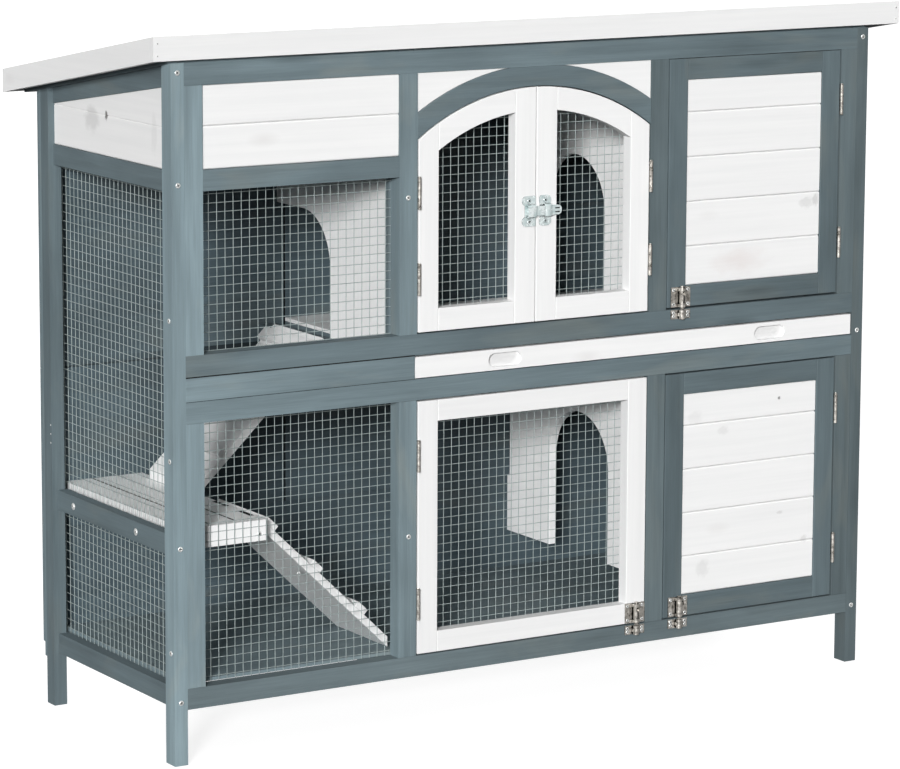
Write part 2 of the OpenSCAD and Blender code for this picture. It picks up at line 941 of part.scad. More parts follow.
// Where each upright latch stands: X, Z of its base, and the way its knob points
mesh_door_latch_at = [759.5, lower_sill + 3];
upper_solid_latch_at = [834, upper_sill + 3.5];
lower_solid_latch_at = [836, lower_sill + 3];
knob_front = -90;
knob_right = -12;

module at_latch(at) translate([at[0], 0, at[1]]) children();

module rail_keepers() {
    color(zinc) in_frame()
        for (at = [mesh_door_latch_at, upper_solid_latch_at, lower_solid_latch_at])
            at_latch(at) latch_keeper();
}

// The middle latch: a flat bolt that slides sideways between the arched doors
bar_z = 733;
bar_h = 14;
bar_t = 4;
strap_wall = 1.6;
middle_plate_h = 50;
middle_base = [588, 604];
middle_keeper = [561, 581];
bar_end = 625.7;

module strap_plate(x) {
    y0 = -plate_t - bar_t - strap_wall - run_gap;
    difference() {
        union() {
            span(x, [-plate_t, 0],
                [bar_z - middle_plate_h / 2, bar_z + middle_plate_h / 2]);
            span(x, [y0, 0], [bar_z - bar_h / 2 - strap_wall - run_gap,
                bar_z + bar_h / 2 + strap_wall + run_gap]);
        }
        span([x[0] - 1, x[1] + 1], [y0 + strap_wall, -plate_t + run_gap],
            [bar_z - bar_h / 2 - run_gap, bar_z + bar_h / 2 + run_gap]);
    }
}

module flat_bolt() {
    tip = middle_keeper[1] + tip_gap;
    y = [-plate_t - bar_t, -plate_t];
    rib = 3;
    span([tip, bar_end - bar_h / 2], y, [bar_z - bar_h / 2, bar_z + bar_h / 2]);
    along_y(y) translate([bar_end - bar_h / 2, bar_z]) circle(bar_h / 2);
    span([middle_base[1] + bolt_travel + 1, middle_base[1] + bolt_travel + 1 + rib],
        [y[0] - rib, y[0] + 1], [bar_z - bar_h / 2 + 1, bar_z + bar_h / 2 - 1]);
}

// ------------------------------------------------------------ arched doors

arch_door_x = [middle_x + hinge_gap, arch_x - free_gap / 2];
arch_door_z = upper_sill + 2;
arch_inner_r = arch_r - 32.9;

// The left arched door, and the right one as its mirror image
module mirrored_about_arch() {
    translate([arch_x, 0, 0]) mirror([1, 0, 0]) translate([-arch_x, 0, 0]) children();
}

module arch_disc(r) translate([arch_x, arch_z]) circle(r, $fn = arc_fn);

// An upright that ends at the arch
module arched_stile(x) {
    along_y([0, door_t]) intersection() {
        translate([x[0], arch_door_z]) square([x[1] - x[0], big]);
        union() {
            arch_disc(arch_r);
            translate([0, arch_door_z]) square([big, arch_z - arch_door_z + 1]);
        }
    }
}

module arch_door_frame() {
    outer = [arch_door_x[0], arch_door_x[0] + door_stile_w];
    meeting = [arch_door_x[1] - meeting_stile_w, arch_door_x[1]];
    inner = [outer[1] + seam, meeting[0] - seam];
    arched_stile(outer);
    arched_stile(meeting);
    span(inner, [0, door_t], [arch_door_z, arch_door_z + door_stile_w]);
    along_y([0, door_t]) intersection() {
        difference() {
            arch_disc(arch_r);
            arch_disc(arch_inner_r);
        }
        translate([inner[0], arch_z]) square([inner[1] - inner[0], big]);
    }
}

module arch_door_mesh() {
    x = [arch_door_x[0] + door_stile_w - mesh_lap,
        arch_door_x[1] - meeting_stile_w + mesh_lap];
    z0 = arch_door_z + door_stile_w - mesh_lap;
    r = arch_inner_r + mesh_lap;
    front = door_t + wire_d / 2 + 0.05;
    for (xi = mesh_lines(x[0], x[1]))
        upright_wire(xi, front, [z0, arch_z + sqrt(r * r - pow(xi - arch_x, 2))]);
    for (zi = mesh_lines(z0, arch_z + r - 16))
        level_wire([max(x[0], arch_x - sqrt(r * r - pow(zi - arch_z, 2))), x[1]],
            front + layer, zi);
}

module left_arch_door_frame() color(paint) in_frame() arch_door_frame();

module left_arch_door_mesh() color(wire) in_frame() arch_door_mesh();

module left_arch_door_hinge_leaves() {
    color(zinc) in_frame() at_hinges(left_axis, arch_hinges) door_leaf(1);
}

module left_arch_door_keeper() color(zinc) in_frame() strap_plate(middle_keeper);

module right_arch_door_frame() {
    color(paint) in_frame() mirrored_about_arch() arch_door_frame();
}

module right_arch_door_mesh() {
    color(wire) in_frame() mirrored_about_arch() arch_door_mesh();
}

module right_arch_door_hinge_leaves() {
    color(zinc) in_frame() at_hinges(arch_right_axis, arch_hinges) door_leaf(-1);
}

module right_arch_door_latch() color(zinc) in_frame() strap_plate(middle_base);

module right_arch_door_bolt() color(zinc) in_frame() flat_bolt();

// --------------------------------------------------------------- mesh door

lower_door_z = [lower_sill + 2, lower_head - 2.5];
mesh_door_x = [middle_x + hinge_gap, right_mullion_x - free_gap];

module mesh_door_frame() {
    color(paint) in_frame() door_frame(mesh_door_x, lower_door_z, door_stile_w - 2.2);
}

module mesh_door_mesh() {
    lap = door_stile_w - mesh_lap;
    color(wire) in_frame()
        mesh_panel([mesh_door_x[0] + lap, mesh_door_x[1] - lap],
            [lower_door_z[0] + lap - 2, lower_door_z[1] - lap + 2], door_t);
}

module mesh_door_hinge_leaves() {
    color(zinc) in_frame() at_hinges(left_axis, mesh_door_hinges) door_leaf(1);
}

module mesh_door_latch() {
    color(zinc) in_frame() at_latch(mesh_door_latch_at) latch_base(knob_front);
}

module mesh_door_bolt() {
    color(zinc) in_frame() at_latch(mesh_door_latch_at) latch_bolt(knob_front);
}

// ------------------------------------------------------------- solid doors

solid_door_x = [right_x + free_gap, right_stile_x - hinge_gap];
upper_solid_z = [upper_sill + 3, upper_head - 1];
boards_per_door = 5;

// Five boards in a solid door, the top and bottom ones cut narrower to fit
module door_boards(z, rail) {
    low = z[0] + rail + seam;
    high = z[1] - rail - seam;
    edges = [low, for (i = [0 : boards_per_door - 2])
        low + door_foot_board_h + i * door_board_h, high];
    boards_along_x([solid_door_x[0] + door_stile_w + seam,
        solid_door_x[1] - door_stile_w - seam],
        [board_inset, board_inset + board_t], edges);
}

module upper_solid_door_frame() {
    color(stain) in_frame() door_frame(solid_door_x, upper_solid_z, door_stile_w - 1.6);
}

module upper_solid_door_boards() {
    color(paint) in_frame() door_boards(upper_solid_z, door_stile_w - 1.6);
}

module upper_solid_door_hinge_leaves() {
    color(zinc) in_frame() at_hinges(right_axis, upper_solid_hinges) door_leaf(-1);
}

module upper_solid_door_latch() {
    color(zinc) in_frame() at_latch(upper_solid_latch_at) latch_base(knob_front);
}

module upper_solid_door_bolt() {
    color(zinc) in_frame() at_latch(upper_solid_latch_at) latch_bolt(knob_front);
}

module lower_solid_door_frame() {
    color(stain) in_frame() door_frame(solid_door_x, lower_door_z, door_stile_w - 1);
}

module lower_solid_door_boards() {
    color(paint) in_frame() door_boards(lower_door_z, door_stile_w - 1);
}

module lower_solid_door_hinge_leaves() {
    color(zinc) in_frame() at_hinges(right_axis, lower_solid_hinges) door_leaf(-1);
}

module lower_solid_door_latch() {
    color(zinc) in_frame() at_latch(lower_solid_latch_at) latch_base(knob_right);
}

module lower_solid_door_bolt() {
    color(zinc) in_frame() at_latch(lower_solid_latch_at) latch_bolt(knob_right);
}

// -------------------------------------------------------------------- tray

tray_front_x0 = middle_x - 2.6;
tray_front_x1 = body_w - post_w - 2.5;
grip_h = 20;
grip_w = 55;
grip_depth = 6;
grip_x = [504.5, 969];
grip_z = tray_z + 4.5;

module tray_front() {
    color(paint) in_frame() difference() {
        span([tray_front_x0, tray_front_x1], [0, door_t],
            [tray_z, tray_z + tray_front_h]);
        for (x = grip_x) translate([x, 0, grip_z]) {
            span([grip_h / 2, grip_w - grip_h / 2], [-1, grip_depth], [0, grip_h]);
            for (end = [grip_h / 2, grip_w - grip_h / 2])
                translate([end, grip_depth, grip_h / 2]) rotate([90, 0, 0])
                    cylinder(r = grip_h / 2, h = grip_depth + 1, $fn = 48);
        }
    }
}

module tray_panel() {
    color(paint) in_frame()
        span([tray_x0, tray_x1], [door_t + seam, tray_y1],
            [tray_top - tray_panel_t, tray_top]);
}

module tray_frame() {
    z = [tray_z, tray_top - tray_panel_t - seam];
    y = [door_t + seam, tray_y1];
    color(stain) in_frame() {
        span([tray_x0, tray_x0 + batten_w], y, z);
        span([tray_x1 - batten_w, tray_x1], y, z);
        span([tray_x0 + batten_w + seam, tray_x1 - batten_w - seam],
            [tray_y1 - batten_w, tray_y1], z);
    }
}

// -------------------------------------------------------------------- parts

corner_posts();
upper_front_frame();
lower_front_frame();
filler_board();
upper_front_boards();
arch_header();
left_side_frame();
left_side_boards();
left_side_mesh();
left_front_mesh();
right_side_frame();
right_side_boards();
back_frame();
back_panels();
roof_frame();
roof_deck();
roof_felt();
roof_fascias();
frame_fasteners();
floor_bearers();
bottom_floor();
tray_bearers();
partition_battens();
left_partition();
upper_right_partition();
lower_right_partition();
platform();
lower_ramp();
upper_ramp();
ramp_cleats();
hinge_frame_leaves();
hinge_pins();
rail_keepers();
left_arch_door_frame();
left_arch_door_mesh();
left_arch_door_hinge_leaves();
left_arch_door_keeper();
right_arch_door_frame();
right_arch_door_mesh();
right_arch_door_hinge_leaves();
right_arch_door_latch();
right_arch_door_bolt();
mesh_door_frame();
mesh_door_mesh();
mesh_door_hinge_leaves();
mesh_door_latch();
mesh_door_bolt();
upper_solid_door_frame();
upper_solid_door_boards();
upper_solid_door_hinge_leaves();
upper_solid_door_latch();
upper_solid_door_bolt();
lower_solid_door_frame();
lower_solid_door_boards();
lower_solid_door_hinge_leaves();
lower_solid_door_latch();
lower_solid_door_bolt();
tray_front();
tray_panel();
tray_frame();
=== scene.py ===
"""Rabbit hutch: materials, fittings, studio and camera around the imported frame."""

import json
import math
import random

import bmesh
import bpy
from mathutils import Matrix, Vector


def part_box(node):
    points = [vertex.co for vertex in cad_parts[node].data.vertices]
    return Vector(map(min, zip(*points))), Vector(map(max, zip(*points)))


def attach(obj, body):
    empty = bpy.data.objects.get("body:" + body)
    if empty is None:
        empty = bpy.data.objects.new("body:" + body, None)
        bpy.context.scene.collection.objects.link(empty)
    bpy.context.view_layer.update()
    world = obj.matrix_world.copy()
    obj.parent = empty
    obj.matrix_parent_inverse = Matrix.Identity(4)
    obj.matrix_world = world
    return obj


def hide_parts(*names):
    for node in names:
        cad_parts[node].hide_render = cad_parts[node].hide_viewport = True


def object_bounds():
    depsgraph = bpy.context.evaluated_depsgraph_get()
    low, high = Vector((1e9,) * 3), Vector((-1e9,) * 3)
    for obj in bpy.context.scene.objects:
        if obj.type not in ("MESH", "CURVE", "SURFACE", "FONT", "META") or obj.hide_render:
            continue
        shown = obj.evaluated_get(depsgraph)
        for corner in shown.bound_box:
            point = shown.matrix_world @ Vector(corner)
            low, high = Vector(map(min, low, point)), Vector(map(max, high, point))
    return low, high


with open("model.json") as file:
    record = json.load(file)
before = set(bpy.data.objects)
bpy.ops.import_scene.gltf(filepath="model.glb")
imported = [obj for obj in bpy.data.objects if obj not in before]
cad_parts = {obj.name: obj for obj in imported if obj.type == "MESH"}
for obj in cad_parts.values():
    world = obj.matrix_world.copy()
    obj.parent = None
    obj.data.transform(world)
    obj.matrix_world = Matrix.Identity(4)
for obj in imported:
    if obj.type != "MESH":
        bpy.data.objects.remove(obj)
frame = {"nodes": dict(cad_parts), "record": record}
cad_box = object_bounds()

MM = 0.001
FRONT_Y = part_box("left_arch_door_keeper")[1][1]
NODES = frame["nodes"]
AXES = "xyz"


# ------------------------------------------------------------------ camera

# The view: where the camera stands, what it looks along, and its long lens
CAMERA_AT = Vector((-3.00587, -4.87824, 1.48055))
CAMERA_RIGHT = Vector((0.85005, -0.52667, 0.00525))
CAMERA_UP = Vector((0.07910, 0.13751, 0.98734))
CAMERA_LENS = 156.84
CAMERA_SHIFT = (-0.0263, -0.0852)


def make_camera():
    """A long lens at the place and angle above."""
    data = bpy.data.cameras.new("camera")
    data.sensor_width = 36
    data.lens = CAMERA_LENS
    data.shift_x, data.shift_y = CAMERA_SHIFT
    data.clip_end = 200
    camera = bpy.data.objects.new("camera", data)
    back = CAMERA_RIGHT.cross(CAMERA_UP)
    turn = Matrix((CAMERA_RIGHT, CAMERA_UP, back)).transposed().to_4x4()
    camera.matrix_world = Matrix.Translation(CAMERA_AT) @ turn
    bpy.context.scene.collection.objects.link(camera)
    bpy.context.scene.camera = camera


# --------------------------------------------------------------- materials

class Shader:
    """A material's node tree, with short ways to add and join its nodes."""

    def __init__(self, name):
        self.material = bpy.data.materials.new(name)
        self.material.use_nodes = True
        self.nodes = self.material.node_tree.nodes
        self.links = self.material.node_tree.links
        self.bsdf = self.nodes["Principled BSDF"]

    def add(self, kind, **settings):
        """Adds a node, and sets its sockets and properties by name."""
        node = self.nodes.new("ShaderNode" + kind)
        for key, value in settings.items():
            if key in node.inputs:
                node.inputs[key].default_value = value
            else:
                setattr(node, key, value)
        return node

    def link(self, source, target):
        self.links.new(source, target)

    def place(self, scale, offset=None):
        """Object coordinates, stretched by scale and moved by an offset socket."""
        where = self.add("TexCoord").outputs["Object"]
        if offset is not None:
            shift = self.add("VectorMath", operation="ADD")
            self.link(where, shift.inputs[0])
            self.link(offset, shift.inputs[1])
            where = shift.outputs[0]
        mapping = self.add("Mapping")
        mapping.inputs["Scale"].default_value = scale
        self.link(where, mapping.inputs["Vector"])
        return mapping.outputs["Vector"]

    def noise(self, where, scale=1.0, detail=4.0, roughness=0.5, distortion=0.0):
        node = self.add("TexNoise")
        node.inputs["Scale"].default_value = scale
        node.inputs["Detail"].default_value = detail
        node.inputs["Roughness"].default_value = roughness
        node.inputs["Distortion"].default_value = distortion
        self.link(where, node.inputs["Vector"])
        return node.outputs["Fac"]

    def ramp(self, value, stops):
        """Maps a value to colours at the given positions."""
        node = self.add("ValToRGB")
        elements = node.color_ramp.elements
        while len(elements) < len(stops):
            elements.new(0.5)
        for element, (position, colour) in zip(elements, stops):
            element.position = position
            element.color = (*colour, 1)
        self.link(value, node.inputs["Fac"])
        return node.outputs["Color"]

    def level(self, value, low, high, start=0.0, end=1.0):
        """Rescales a value from start..end to low..high."""
        node = self.add("MapRange")
        node.inputs["From Min"].default_value = start
        node.inputs["From Max"].default_value = end
        node.inputs["To Min"].default_value = low
        node.inputs["To Max"].default_value = high
        self.link(value, node.inputs["Value"])
        return node.outputs["Result"]

    def mix(self, factor, a, b, blend="MIX"):
        node = self.add("Mix", data_type="RGBA", blend_type=blend)
        for value, socket in ((factor, node.inputs["Factor"]), (a, node.inputs[6]),
                              (b, node.inputs[7])):
            if isinstance(value, (int, float)):
                socket.default_value = value
            elif isinstance(value, tuple):
                socket.default_value = (*value, 1)
            else:
                self.link(value, socket)
        return node.outputs[2]

    def scale_vector(self, value, size):
        """Turns one value into a vector that shifts a texture by up to size."""
        node = self.add("VectorMath", operation="SCALE")
        node.inputs[0].default_value = (size, size * 0.7, size * 1.3)
        self.link(value, node.inputs["Scale"])
        return node.outputs[0]

    def knots(self, scale, offset, depth, reach):
        """The strength of scattered knots: depth at their middles, none beyond reach."""
        node = self.add("TexVoronoi", feature="F1")
        node.inputs["Scale"].default_value = 1.0
        self.link(self.place(scale, offset), node.inputs["Vector"])
        return self.level(node.outputs["Distance"], depth, 0, 0.02, reach)

    def bump(self, height, strength, distance, normal=None):
        node = self.add("Bump")
        node.inputs["Strength"].default_value = strength
        node.inputs["Distance"].default_value = distance
        self.link(height, node.inputs["Height"])
        if normal is not None:
            self.link(normal, node.inputs["Normal"])
        return node.outputs["Normal"]

    def mark(self, colour, centre, size, tint, strength, edge=0.5):
        """Paints a soft-edged spot with a ragged outline round a point."""
        where = self.add("TexCoord").outputs["Object"]
        shift = self.add("VectorMath", operation="SUBTRACT")
        shift.inputs[1].default_value = centre
        self.link(where, shift.inputs[0])
        scaled = self.add("VectorMath", operation="DIVIDE")
        scaled.inputs[1].default_value = size
        self.link(shift.outputs[0], scaled.inputs[0])
        length = self.add("VectorMath", operation="LENGTH")
        self.link(scaled.outputs[0], length.inputs[0])
        ragged = self.noise(scaled.outputs[0], scale=2.2, detail=4)
        total = self.add("Math", operation="ADD")
        self.link(length.outputs["Value"], total.inputs[0])
        self.link(self.level(ragged, -0.5, 0.5), total.inputs[1])
        inside = self.level(total.outputs[0], strength, 0, 1 - edge, 1)
        return self.mix(inside, colour, tint)

    def finish(self, colour=None, roughness=None, normal=None):
        for value, name in ((colour, "Base Color"), (roughness, "Roughness"),
                            (normal, "Normal")):
            if value is not None:
                self.link(value, self.bsdf.inputs[name])
        return self.material


def along(axis, length, width):
    """Texture scale for grain that runs along one axis: low along it, high across."""
    return tuple(length if a == axis else width for a in AXES)


def grey(s, value):
    """Turns one value into a colour of that brightness."""
    colour = s.add("CombineColor")
    for channel in ("Red", "Green", "Blue"):
        s.link(value, colour.inputs[channel])
    return colour.outputs[0]


def times(colour, factor):
    return tuple(c * factor for c in colour)


# The hutch's span along x; across it the wood is painted darker evenly from the left end to
# the right, as painted falloff of light
HUTCH_SPAN_X = (cad_box[0][0], cad_box[1][0])

# The height of the lower floor and of each storey, and the lining's painted shade in them:
# its factor at the bottom and the top of a storey, and by the left end
STOREY_LOW = 0.09
STOREY = 0.415
STOREY_SHADE = (1.30, 0.38)
END_SHADE = (1.2, 1.2, 1.2)
END_REACH = (HUTCH_SPAN_X[0] + 0.14, HUTCH_SPAN_X[0] + 0.30)

# How far painted shade reaches into the corners of the metal, and how fine the felt's chips
# are
CREVICE = 3.5 * MM
CHIPS_PER_M = 900


def storey_shade(s, split):
    """The lining's painted shade, from the separated coordinates of a point: darker towards
    the top of each storey, evened out to one lighter factor by the left end.
    """
    storey = s.add("Math", operation="FRACT")
    raised = s.level(split.outputs["Z"], 0, 2, STOREY_LOW, STOREY_LOW + 2 * STOREY)
    s.link(raised, storey.inputs[0])
    deep = grey(s, s.level(storey.outputs[0], *STOREY_SHADE, 0.15, 0.90))
    inner = s.level(split.outputs["X"], 0, 1, *END_REACH)
    return s.mix(inner, END_SHADE, deep)


# Stain on planed softwood, and where it has worn or weathered a little greener
STAIN_COLOUR = (0.127, 0.168, 0.184)
WORN_COLOUR = (0.160, 0.183, 0.176)


def stained_wood(name, axis, tone=1.0, warm=0.0, storeys=False):
    """Softwood under a thin blue-grey stain: streaks, patches, knots and open grain.

    With painted storey shade, the wood is painted darker towards the top of each storey, away
    from the left end.
    """
    s = Shader(name)
    board = s.add("Attribute", attribute_name="board").outputs["Fac"]
    offset = s.scale_vector(board, 7.0)
    streaks = s.noise(s.place(along(axis, 2.6, 95), offset), detail=6, roughness=0.62)
    fine = s.noise(s.place(along(axis, 16, 560), offset), detail=4, roughness=0.7)
    clouds = s.noise(s.place(along(axis, 3.2, 11), offset), detail=3, distortion=0.5)
    patches = s.noise(s.place(along(axis, 5, 20), offset), detail=4, distortion=0.8)
    base = times(STAIN_COLOUR, tone)
    if warm:
        base = tuple(c * (1 + warm * k) for c, k in zip(base, (0.9, 0.1, -0.5)))
    colour = s.ramp(streaks, ((0.30, times(base, 0.86)), (0.5, base),
                              (0.72, times(base, 1.13))))
    colour = s.mix(0.9, colour, grey(s, s.level(clouds, 0.80, 1.16, 0.3, 0.7)), "MULTIPLY")
    worn = s.level(patches, 0, 0.6, 0.54, 0.78)
    colour = s.mix(worn, colour, times(WORN_COLOUR, tone * 1.12))
    knots = s.knots(along(axis, 3.0, 15), offset, 0.55, 0.15)
    colour = s.mix(knots, colour, times(base, 0.55))
    colour = s.mix(1.0, colour, grey(s, s.level(board, 0.91, 1.09)), "MULTIPLY")
    colour = s.mix(0.8, colour, grey(s, s.level(fine, 0.88, 1.06, 0.3, 0.66)), "MULTIPLY")
    split = s.add("SeparateXYZ")
    s.link(s.place((1, 1, 1)), split.inputs[0])
    # Painted falloff of light: the wood is painted darker evenly from the left end of the
    # hutch to the right
    across = s.level(split.outputs["X"], 1.12, 0.90, *HUTCH_SPAN_X)
    colour = s.mix(1.0, colour, grey(s, across), "MULTIPLY")
    # Painted shade: the lining is painted darker towards the top of each storey, away from
    # the left end
    if storeys:
        colour = s.mix(1.0, colour, storey_shade(s, split), "MULTIPLY")
    normal = s.bump(fine, 0.20, 0.0006)
    normal = s.bump(streaks, 0.16, 0.0010, normal)
    s.bsdf.inputs["Specular IOR Level"].default_value = 0.25
    return s.finish(colour, s.level(streaks, 0.52, 0.74, 0.3, 0.7), normal)


def painted_wood(name, axis, marks=(), tone=1.0):
    """White paint over softwood: faint grain, grey clouds, knots and given marks."""
    s = Shader(name)
    board = s.add("Attribute", attribute_name="board").outputs["Fac"]
    offset = s.scale_vector(board, 9.0)
    streaks = s.noise(s.place(along(axis, 3, 110), offset), detail=5, roughness=0.6)
    fine = s.noise(s.place(along(axis, 22, 700), offset), detail=3, roughness=0.65)
    clouds = s.noise(s.place(along(axis, 5, 14), offset), detail=3, distortion=0.8)
    colour = s.ramp(streaks, ((0.28, times((0.770, 0.772, 0.772), tone)),
                              (0.62, times((0.812, 0.812, 0.81), tone))))
    colour = s.mix(s.level(clouds, 0, 0.16, 0.58, 0.85), colour, (0.70, 0.70, 0.70))
    knots = s.knots(along(axis, 4.5, 11), offset, 0.32, 0.13)
    colour = s.mix(knots, colour, (0.60, 0.58, 0.57))
    for mark in marks:
        colour = s.mark(colour, *mark)
    normal = s.bump(fine, 0.14, 0.0005)
    normal = s.bump(streaks, 0.12, 0.0009, normal)
    s.bsdf.inputs["Specular IOR Level"].default_value = 0.3
    return s.finish(colour, s.level(streaks, 0.45, 0.62, 0.3, 0.7), normal)


def metal(name, light, dark, rough, scale, bump=0.1, metallic=1.0, shade_crevices=False):
    """Plated or galvanised steel with small patches, and painted shade darkening its corners
    and seams.
    """
    s = Shader(name)
    where = s.place((1, 1, 1))
    spangle = s.noise(where, scale=scale, detail=5, roughness=0.6)
    colour = s.ramp(spangle, ((0.3, dark), (0.7, light)))
    s.bsdf.inputs["Metallic"].default_value = metallic
    fine = s.noise(where, scale=scale * 6, detail=3)
    if shade_crevices:
        # Painted shade: ambient occlusion darkens the metal where it meets other surfaces
        crevice = s.add("AmbientOcclusion")
        crevice.inputs["Distance"].default_value = CREVICE
        crevice_shade = s.level(crevice.outputs["AO"], 0.0, 1.05, 0.54, 0.90)
        colour = s.mix(1.0, colour, grey(s, crevice_shade), "MULTIPLY")
    return s.finish(colour, s.level(spangle, rough[0], rough[1], 0.3, 0.7),
                    s.bump(fine, bump, 0.0002))


def roofing_felt(name):
    """Bitumen felt with mineral chips of mixed greys."""
    s = Shader(name)
    where = s.place((1, 1, 1))
    chips = s.add("TexVoronoi", feature="F1")
    chips.inputs["Scale"].default_value = CHIPS_PER_M
    s.link(where, chips.inputs["Vector"])
    chip = s.add("SeparateColor")
    s.link(chips.outputs["Color"], chip.inputs["Color"])
    colour = s.ramp(chip.outputs["Red"], ((0.0, (0.030, 0.033, 0.036)),
                                          (0.7, (0.075, 0.080, 0.084)),
                                          (1.0, (0.16, 0.165, 0.165))))
    stains = s.noise(where, scale=7, detail=4)
    colour = s.mix(s.level(stains, 0, 0.4, 0.45, 0.8), colour, (0.055, 0.062, 0.058))
    normal = s.bump(chips.outputs["Distance"], 0.5, 0.0006)
    s.bsdf.inputs["Roughness"].default_value = 0.92
    return s.finish(colour, None, normal)


def floor_paint(name):
    """Pale studio floor, lit partly from within so that shadows on it stay soft."""
    s = Shader(name)
    faint = s.noise(s.place((1, 1, 1)), scale=3, detail=3)
    colour = s.ramp(faint, ((0.3, (0.35, 0.35, 0.35)), (0.7, (0.37, 0.37, 0.37))))
    s.bsdf.inputs["Specular IOR Level"].default_value = 0.0
    s.bsdf.inputs["Emission Color"].default_value = (1, 1, 1, 1)
    s.bsdf.inputs["Emission Strength"].default_value = 0.86
    return s.finish(colour, s.level(faint, 0.9, 0.95))


def backdrop_paint(name):
    """A plain white glow."""
    s = Shader(name)
    s.bsdf.inputs["Base Color"].default_value = (0, 0, 0, 1)
    s.bsdf.inputs["Specular IOR Level"].default_value = 0.0
    s.bsdf.inputs["Emission Color"].default_value = (1, 1, 1, 1)
    s.bsdf.inputs["Emission Strength"].default_value = 1.1
    return s.material


def by_axis(make, name, **settings):
    """One wood for each axis that its grain may run along."""
    return {a: make(name + "_" + a, a, **settings) for a in AXES}


# Every timber has one of these stains; paler ones stand at the left of the hutch, partly as
# painted falloff of light across the front
STAIN = by_axis(stained_wood, "stained_wood")
PALE_STAIN = by_axis(stained_wood, "pale_stained_wood", tone=1.62)
LIGHT_STAIN = by_axis(stained_wood, "light_stained_wood", tone=1.13)
DEEP_STAIN = by_axis(stained_wood, "deep_stained_wood", tone=0.86, warm=0.03)
BASE_STAIN = by_axis(stained_wood, "base_stained_wood", tone=0.88, warm=0.03)
DARK_STAIN = by_axis(stained_wood, "dark_stained_wood", tone=0.80)
FILLER_STAIN = by_axis(stained_wood, "filler_stained_wood", tone=1.28)
# The lining: a darker, duller stain with painted shade towards the top of each storey
SHADE_STAIN = by_axis(stained_wood, "lining_stain_and_painted_shade", tone=0.48, warm=-0.1, storeys=True)
FLOOR_STAIN = by_axis(stained_wood, "floor_board", tone=1.18)
PAINT = by_axis(painted_wood, "painted_wood")
ZINC = metal("zinc", (0.76, 0.725, 0.67), (0.20, 0.185, 0.16), (0.22, 0.45), 170,
             metallic=0.8, shade_crevices=True)
# A paler, bluer copy of the zinc for the middle latch: painted reflection of the white doors
# round it
ZINC_PAINTED_REFLECTION = metal("zinc_painted_reflection", (0.95, 1.0, 1.0), (0.52, 0.65, 0.65), (0.18, 0.32), 110,
                    metallic=0.45, shade_crevices=True)
WIRE = metal("mesh_wire", (0.33, 0.385, 0.38), (0.24, 0.285, 0.28), (0.42, 0.60), 160,
             metallic=0.1)
SCREW = metal("fasteners", (0.84, 0.85, 0.83), (0.66, 0.67, 0.66), (0.30, 0.45), 300,
              metallic=0.6)
# Near-black painted shade for the walls of narrow gaps and for strips in joints
GAP_SHADE = stained_wood("painted_gap_shade", "z", tone=0.05)
# Darker paint as painted shade in the tray front's grip
GRIP_SHADE = painted_wood("grip_paint", "x", tone=0.86)
# The platform's top faces: paler paint as painted light, standing in for the light falling on
# them
PLATFORM_TOP_LIGHT = painted_wood("platform_top", "y", tone=1.22)
# Near-black painted shade for recesses and dents, and under the platform's slots
RECESS_SHADE = metal("painted_recess_shade", (0.05, 0.05, 0.05), (0.02, 0.02, 0.02), (0.5, 0.7), 300)
FELT = roofing_felt("roofing_felt")

SLOT_MATERIAL = {"stained_wood": STAIN, "painted_wood": PAINT,
                 "floor_board": FLOOR_STAIN, "zinc": ZINC, "mesh_wire": WIRE,
                 "roofing_felt": FELT, "fasteners": SCREW}


def mark_at(node, across, up, size, tint, strength, edge=0.5):
    """A mark on a node's boards, placed as a share of the node's box."""
    low, high = (Vector(c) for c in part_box(node))
    run = 0 if high.x - low.x > high.y - low.y else 1
    centre = (low + high) / 2
    centre[run] = low[run] + across * (high[run] - low[run])
    centre.z = low.z + up * (high.z - low.z)
    reach = [0.05, 0.05, size[1] * MM]
    reach[run] = size[0] * MM
    return tuple(centre), tuple(reach), tint, strength, edge


GREY_MARK = (0.42, 0.415, 0.41)
DARK_MARK = (0.12, 0.115, 0.11)
PINK_MARK = (0.62, 0.54, 0.52)
MARKS = {
    "left_side_boards": (
        (0.66, 0.42, (26, 22), GREY_MARK, 0.35),
        (0.53, 0.50, (5, 8), DARK_MARK, 0.9),
        (0.12, 0.40, (10, 34), GREY_MARK, 0.15)),
    "upper_solid_door_boards": (
        (0.40, 0.10, (60, 24), PINK_MARK, 0.40, 0.9),
        (0.90, 0.36, (16, 10), GREY_MARK, 0.30),
        (0.97, 0.37, (7, 11), GREY_MARK, 0.45)),
    "lower_solid_door_boards": (
        (0.72, 0.93, (3, 3), DARK_MARK, 0.8),
        (0.30, 0.80, (12, 8), GREY_MARK, 0.20),
        (0.09, 0.88, (16, 12), GREY_MARK, 0.14),
        (0.74, 0.35, (7, 3), GREY_MARK, 0.35),
        (0.16, 0.12, (14, 16), GREY_MARK, 0.22),
        (0.93, 0.20, (7, 7), GREY_MARK, 0.30)),
}


# --------------------------------------------------------------- CAD nodes

